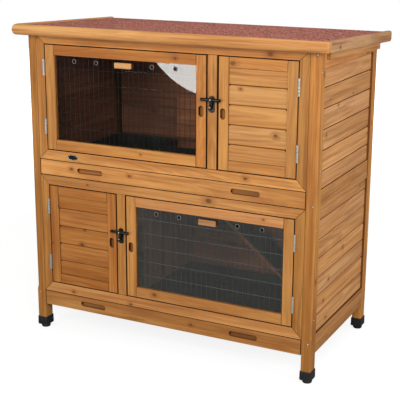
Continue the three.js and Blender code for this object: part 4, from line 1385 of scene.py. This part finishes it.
ROOF_SLOPE = math.radians(2.1)
TRIM_THICKNESS = 19 * MM
TRIM_HEIGHT = 36.4 * MM
TRIM_SOFT = 1.2 * MM
TRIM_CORNER = 10 * MM  # how the trim's ends are rounded
TRIM_STATIONS = (0.0, 0.25, 0.8, 1.8, 3.4, 5.6, 8.0, 10.0)  # mm from an end
NOSE = 14 * MM  # depth of the trim's rounded front
NOSE_POWER = 2.15  # 2 makes the front a half ellipse, and more makes it squarer
NOSE_STEPS = 20
FASCIA_HEIGHT = 37 * MM
FASCIA_END_GAP = 1.6 * MM
FASCIA_FRONT_CORNER, FASCIA_REAR_CORNER = 12 * MM, 9 * MM
DECK_START = TRIM_THICKNESS + 0.3 * MM
DECK_END_GAP = 1.2 * MM
DECK_BOTTOM, DECK_TOP = 20 * MM, 30 * MM  # heights above the trim's lower edge, square to the slope
FELT_BOTTOM, FELT_TOP = 30.4 * MM, 32.5 * MM
FELT_COLUMNS, FELT_ROWS = 150, 84
BATTEN_GAP, BATTEN_WIDTH = 0.3 * MM, 12 * MM
BATTEN_SPAN = (90 * MM, 600 * MM)
BATTEN_BOTTOM, BATTEN_TOP = -25 * MM, DECK_BOTTOM - 0.1 * MM

trim_low, trim_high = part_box("roof_front_trim")
roof_place = Matrix.Translation((
    0, cad_low.y, trim_low.z + TRIM_THICKNESS * math.sin(ROOF_SLOPE))) @ Matrix.Rotation(-ROOF_SLOPE, 4, "X")


def down_slope(y, gap):
    """Length along the slope from the roof's front to a place y, less a gap."""
    return (y - cad_low.y) / math.cos(ROOF_SLOPE) - gap


def nose_profile():
    """Section of the bullnosed trim: (y, z) from the back bottom round the front to the back top."""
    soft_y = TRIM_THICKNESS - TRIM_SOFT
    points = [(TRIM_THICKNESS, TRIM_SOFT), (soft_y, 0.0)]
    for i in range(NOSE_STEPS + 1):
        angle = -math.pi / 2 - i / NOSE_STEPS * math.pi
        reach = abs(math.cos(angle)) ** (2 / NOSE_POWER)
        rise = math.copysign(abs(math.sin(angle)) ** (2 / NOSE_POWER), math.sin(angle))
        points.append((NOSE - NOSE * reach, TRIM_HEIGHT / 2 + TRIM_HEIGHT / 2 * rise))
    return unique_points(points + [(soft_y, TRIM_HEIGHT), (TRIM_THICKNESS, TRIM_HEIGHT - TRIM_SOFT)])


def make_front_trim():
    node = "roof_front_trim"
    profile = nose_profile()
    half = (trim_high.x - trim_low.x) / 2
    stations = []  # place along the trim, and how far its rounded end has shrunk there
    for distance in TRIM_STATIONS:
        inward = distance * MM
        shrink = TRIM_CORNER - math.sqrt(max(TRIM_CORNER**2 - (TRIM_CORNER - inward) ** 2, 0.0))
        stations.append((inward - half, shrink))
    stations += [(-x, shrink) for x, shrink in reversed(stations)]
    middle = TRIM_HEIGHT / 2
    rings = []
    for x, shrink in stations:
        scale = (middle - shrink * 0.92) / middle
        pull = shrink * 0.35 / TRIM_THICKNESS
        rings.append([
            (x, y + (TRIM_THICKNESS - y) * pull, middle + (z - middle) * scale) for y, z in profile])
    made = timber_piece("roof_trim_front", ring_mesh(node, rings), "x", node, WOOD_TRIM,
                        edge=0.0)
    made.data.transform(roof_place)
    smooth(made, 38)


def make_fascia(side):
    node = f"roof_{side}_fascia"
    low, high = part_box(node)
    rear = down_slope(cad_high.y, FASCIA_END_GAP) - FASCIA_REAR_CORNER
    front, front_z = DECK_START + FASCIA_FRONT_CORNER, FASCIA_FRONT_CORNER
    quarter = math.pi / 2
    outline = [
        (DECK_START, FASCIA_HEIGHT),
        *arc((front, front_z), FASCIA_FRONT_CORNER, -2 * quarter, -quarter, 6),
        *arc((rear, FASCIA_REAR_CORNER), FASCIA_REAR_CORNER, -quarter, 0.0, 8),
        *arc((rear, FASCIA_HEIGHT - FASCIA_REAR_CORNER), FASCIA_REAR_CORNER, 0.0, quarter, 8)]
    mesh = prism_mesh(node, unique_points(outline), "x", low.x, high.x)
    knots = random_knots((low.x, -0.3, 0.0), (high.x, 0.3, FASCIA_HEIGHT), "y", 0.4)
    made = timber_piece(f"roof_trim_{side}", mesh, "y", node, WOOD_TRIM, (), 5.5 * MM, knots,
                        segments=5)
    made.data.transform(roof_place)


def make_felt():
    """A felt sheet that lies in slow waves, with a slightly uneven rear edge."""
    node = "roof_felt"
    low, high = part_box(node)
    length = down_slope(high.y, DECK_END_GAP) - DECK_START
    waves = random.Random(7)
    swells = [
        (waves.uniform(4, 17), waves.uniform(3, 15), waves.uniform(0, 6.3), waves.uniform(0.08, 0.22))
        for _ in range(7)]
    top, bottom = [], []
    for j in range(FELT_ROWS + 1):
        for i in range(FELT_COLUMNS + 1):
            across, down = i / FELT_COLUMNS, j / FELT_ROWS
            x = low.x + (high.x - low.x) * across
            y = DECK_START + length * down
            lift = sum(size * math.sin(a * x + b * y + c) for a, b, c, size in swells) * MM
            border = min(1.0, 12.0 * min(across, 1 - across), 9.0 * min(down, 1 - down))
            if j == FELT_ROWS:
                y += 0.7 * MM * math.sin(43 * x + 1.3)
            top.append(roof_place @ Vector((x, y, FELT_TOP + lift * border)))
            bottom.append(roof_place @ Vector((x, y, FELT_BOTTOM)))
    count, width = len(top), FELT_COLUMNS + 1
    faces = []
    for j in range(FELT_ROWS):
        for i in range(FELT_COLUMNS):
            a = j * width + i
            faces.append((a, a + 1, a + 1 + width, a + width))
            faces.append((count + a, count + a + width, count + a + 1 + width, count + a + 1))
    border = [
        *range(width), *range(2 * width - 1, count, width), *range(count - 2, count - width - 1, -1),
        *range(count - 2 * width, 0, -width)]
    for a, b in zip(border, border[1:] + border[:1]):
        faces.append((a, b, count + b, count + a))
    plain_piece("roof_felt_sheet", mesh_from(node, top + bottom, faces), node, FELT, angle=50.0)


def make_deck():
    """The plywood under the felt, and the batten under each edge outside the side walls."""
    node = "roof_deck"
    low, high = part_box(node)
    end_y = down_slope(high.y, DECK_END_GAP)
    sheet = plain_piece(
        "roof_plywood", box_mesh(node, (low.x, DECK_START, DECK_BOTTOM), (high.x, end_y, DECK_TOP)), node,
        WOOD_DECK, edge=0.6 * MM)
    sheet.data.transform(roof_place)
    for side in SIDES:
        near = outer_x(side, *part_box(f"post_front_{side}")) - INWARD[side] * BATTEN_GAP
        left, right = sorted((near, near - INWARD[side] * BATTEN_WIDTH))
        name = f"roof_batten_{side}"
        mesh = box_mesh(name, (left, BATTEN_SPAN[0], BATTEN_BOTTOM), (right, BATTEN_SPAN[1], BATTEN_TOP))
        batten = timber_piece(name, mesh, "y", node, WOOD_TRIM, edge=0.9 * MM, stands_in=False)
        batten.data.transform(roof_place)


make_front_trim()
for side in SIDES:
    make_fascia(side)
make_felt()
make_deck()

# ---------------------------------------------------------------- camera, floor and light

CAMERA_PLACE = Vector((1.5761, -3.123, 1.4597))
CAMERA_AZIMUTH = math.radians(26.92)
CAMERA_ELEVATION = math.radians(15.41)
CAMERA_ROLL = math.radians(0.21)
CAMERA_LENS, CAMERA_SENSOR = 89.5, 36
FLOOR_LIFT = 0.5 * MM  # the floor lies this much below the feet
FLOOR_RADIUS = 9.0
DOME_RADIUS = 30.0
WHITE = (1.0, 1.0, 1.0)


def make_camera():
    data = bpy.data.cameras.new("camera")
    data.lens = CAMERA_LENS
    data.sensor_width = CAMERA_SENSOR
    camera = new_object("camera", data)
    forward = Vector((
        -math.sin(CAMERA_AZIMUTH) * math.cos(CAMERA_ELEVATION),
        math.cos(CAMERA_AZIMUTH) * math.cos(CAMERA_ELEVATION), -math.sin(CAMERA_ELEVATION)))
    camera.location = CAMERA_PLACE
    camera.rotation_mode = "QUATERNION"
    turn = forward.to_track_quat("-Z", "Y")
    camera.rotation_quaternion = turn @ Matrix.Rotation(CAMERA_ROLL, 4, "Z").to_quaternion()
    scene.camera = camera


def stage_piece(name, mesh, material, camera=False, glossy=False):
    """A stage piece that only the kinds of ray asked for can see."""
    made = new_object(name, mesh)
    mesh.materials.append(material)
    made.visible_camera = camera
    made.visible_glossy = glossy
    made.visible_diffuse = False
    made.visible_transmission = False
    made.visible_volume_scatter = False
    made.visible_shadow = False
    return made


def disc_mesh(name):
    mesh = bpy.data.meshes.new(name)
    with editing(mesh) as draft:
        bmesh.ops.create_circle(draft, cap_ends=True, segments=96, radius=FLOOR_RADIUS)
    return mesh


def glow(name, tint, strength):
    """A clear material that adds its own light."""
    shader = Shader(name)
    inputs = {0: shader.transparent(), 1: shader.emission(tint, strength)}
    return shader.finish(shader.node("ShaderNodeAddShader", inputs).outputs[0])


def make_floor():
    """A pale floor that fades into the white backdrop far from the hutch."""
    floor = new_object("floor", disc_mesh("floor"))
    floor.location.z = -FLOOR_LIFT
    shader = Shader("studio_floor")
    place = shader.object_coords()
    tint = shader.mix(shader.noise(place, 3.0, 2.0), (0.28, 0.28, 0.275), (0.30, 0.30, 0.295))
    paint = shader.node("ShaderNodeBsdfPrincipled", {"Base Color": tint, "Roughness": 0.9}).outputs[0]
    fade = shader.ramp(shader.length(place), 1.6, 4.5)
    floor.data.materials.append(shader.finish(shader.blend(fade, paint, shader.transparent())))


def make_surroundings():
    """What only the camera or only the panes see: floor glow, white dome, and a dark sheet and a faint glow
    that the panes show as painted reflections.
    """
    light = glow("floor_glow", WHITE, 0.85)
    lit_floor = stage_piece("floor_glow", disc_mesh("floor_glow"), light, camera=True)
    lit_floor.location.z = -FLOOR_LIFT * 0.5
    dome = bpy.data.meshes.new("backdrop")
    with editing(dome) as draft:
        bmesh.ops.create_icosphere(draft, subdivisions=3, radius=DOME_RADIUS)
    shader = Shader("backdrop_white")
    stage_piece("backdrop", dome, shader.finish(shader.emission(WHITE, 1.0)), camera=True)
    # A dark sheet on the floor that only glossy rays see: a painted dark reflection in the upper pane.
    shader = Shader("studio_dark")
    cloud = shader.noise(shader.object_coords(), 2.0, 2.0)
    dark = shader.painted(shader.mix(cloud, (0.02, 0.018, 0.016), (0.035, 0.03, 0.026)), Roughness=0.9)
    dark_mesh = box_mesh("dark_studio", (-9.0, -12.0, 0.0), (1.0, -2.45, 2 * MM))
    stage_piece("dark_studio", dark_mesh, dark, glossy=True)
    # A faint greenish glowing sheet before the hutch that only glossy rays see: a painted sheen on the lower
    # pane.
    sheen_mesh = box_mesh("low_sheen", (-9.0, -2.4, 0.0), (9.0, -0.4, 1 * MM))
    stage_piece("low_sheen", sheen_mesh, glow("low_sheen", (0.85, 1.0, 0.93), 0.04), glossy=True)


def make_softbox(name, place, target, size, power, shape="RECTANGLE"):
    data = bpy.data.lights.new(name, "AREA")
    data.shape = shape
    data.size, data.size_y = size
    data.energy = power
    lamp = new_object(name, data)
    lamp.location = place
    lamp.rotation_mode = "QUATERNION"
    lamp.rotation_quaternion = (Vector(target) - Vector(place)).to_track_quat("-Z", "Y")
    lamp.visible_camera = False


def make_world():
    world = bpy.data.worlds.new("studio")
    scene.world = world
    world.use_nodes = True
    background = world.node_tree.nodes["Background"]
    background.inputs["Color"].default_value = colour(WHITE)
    background.inputs["Strength"].default_value = 0.3


make_camera()
make_floor()
make_surroundings()
make_world()
make_softbox("key_round", (-1.165, -3.2, 0.94), (-0.1, 0.0, 0.75), (1.15, 1.15), 22.5, "DISK")
make_softbox("top_front", (1.6, -3.0, 2.2), (0.3, -0.2, 0.8), (1.6, 1.2), 66)
make_softbox("inside_glow", (0.05, 0.0, 1.02), (0.2, 0.28, 0.85), (0.3, 0.2), 0.5)
make_softbox("overhead", (0.1, 0.1, 2.6), (0.1, 0.1, 1.1), (1.3, 0.9), 8)
make_softbox("right_side", (3.3, -0.6, 1.1), (0.5, 0.0, 0.6), (1.8, 1.6), 33)
scene.view_settings.view_transform = "Standard"
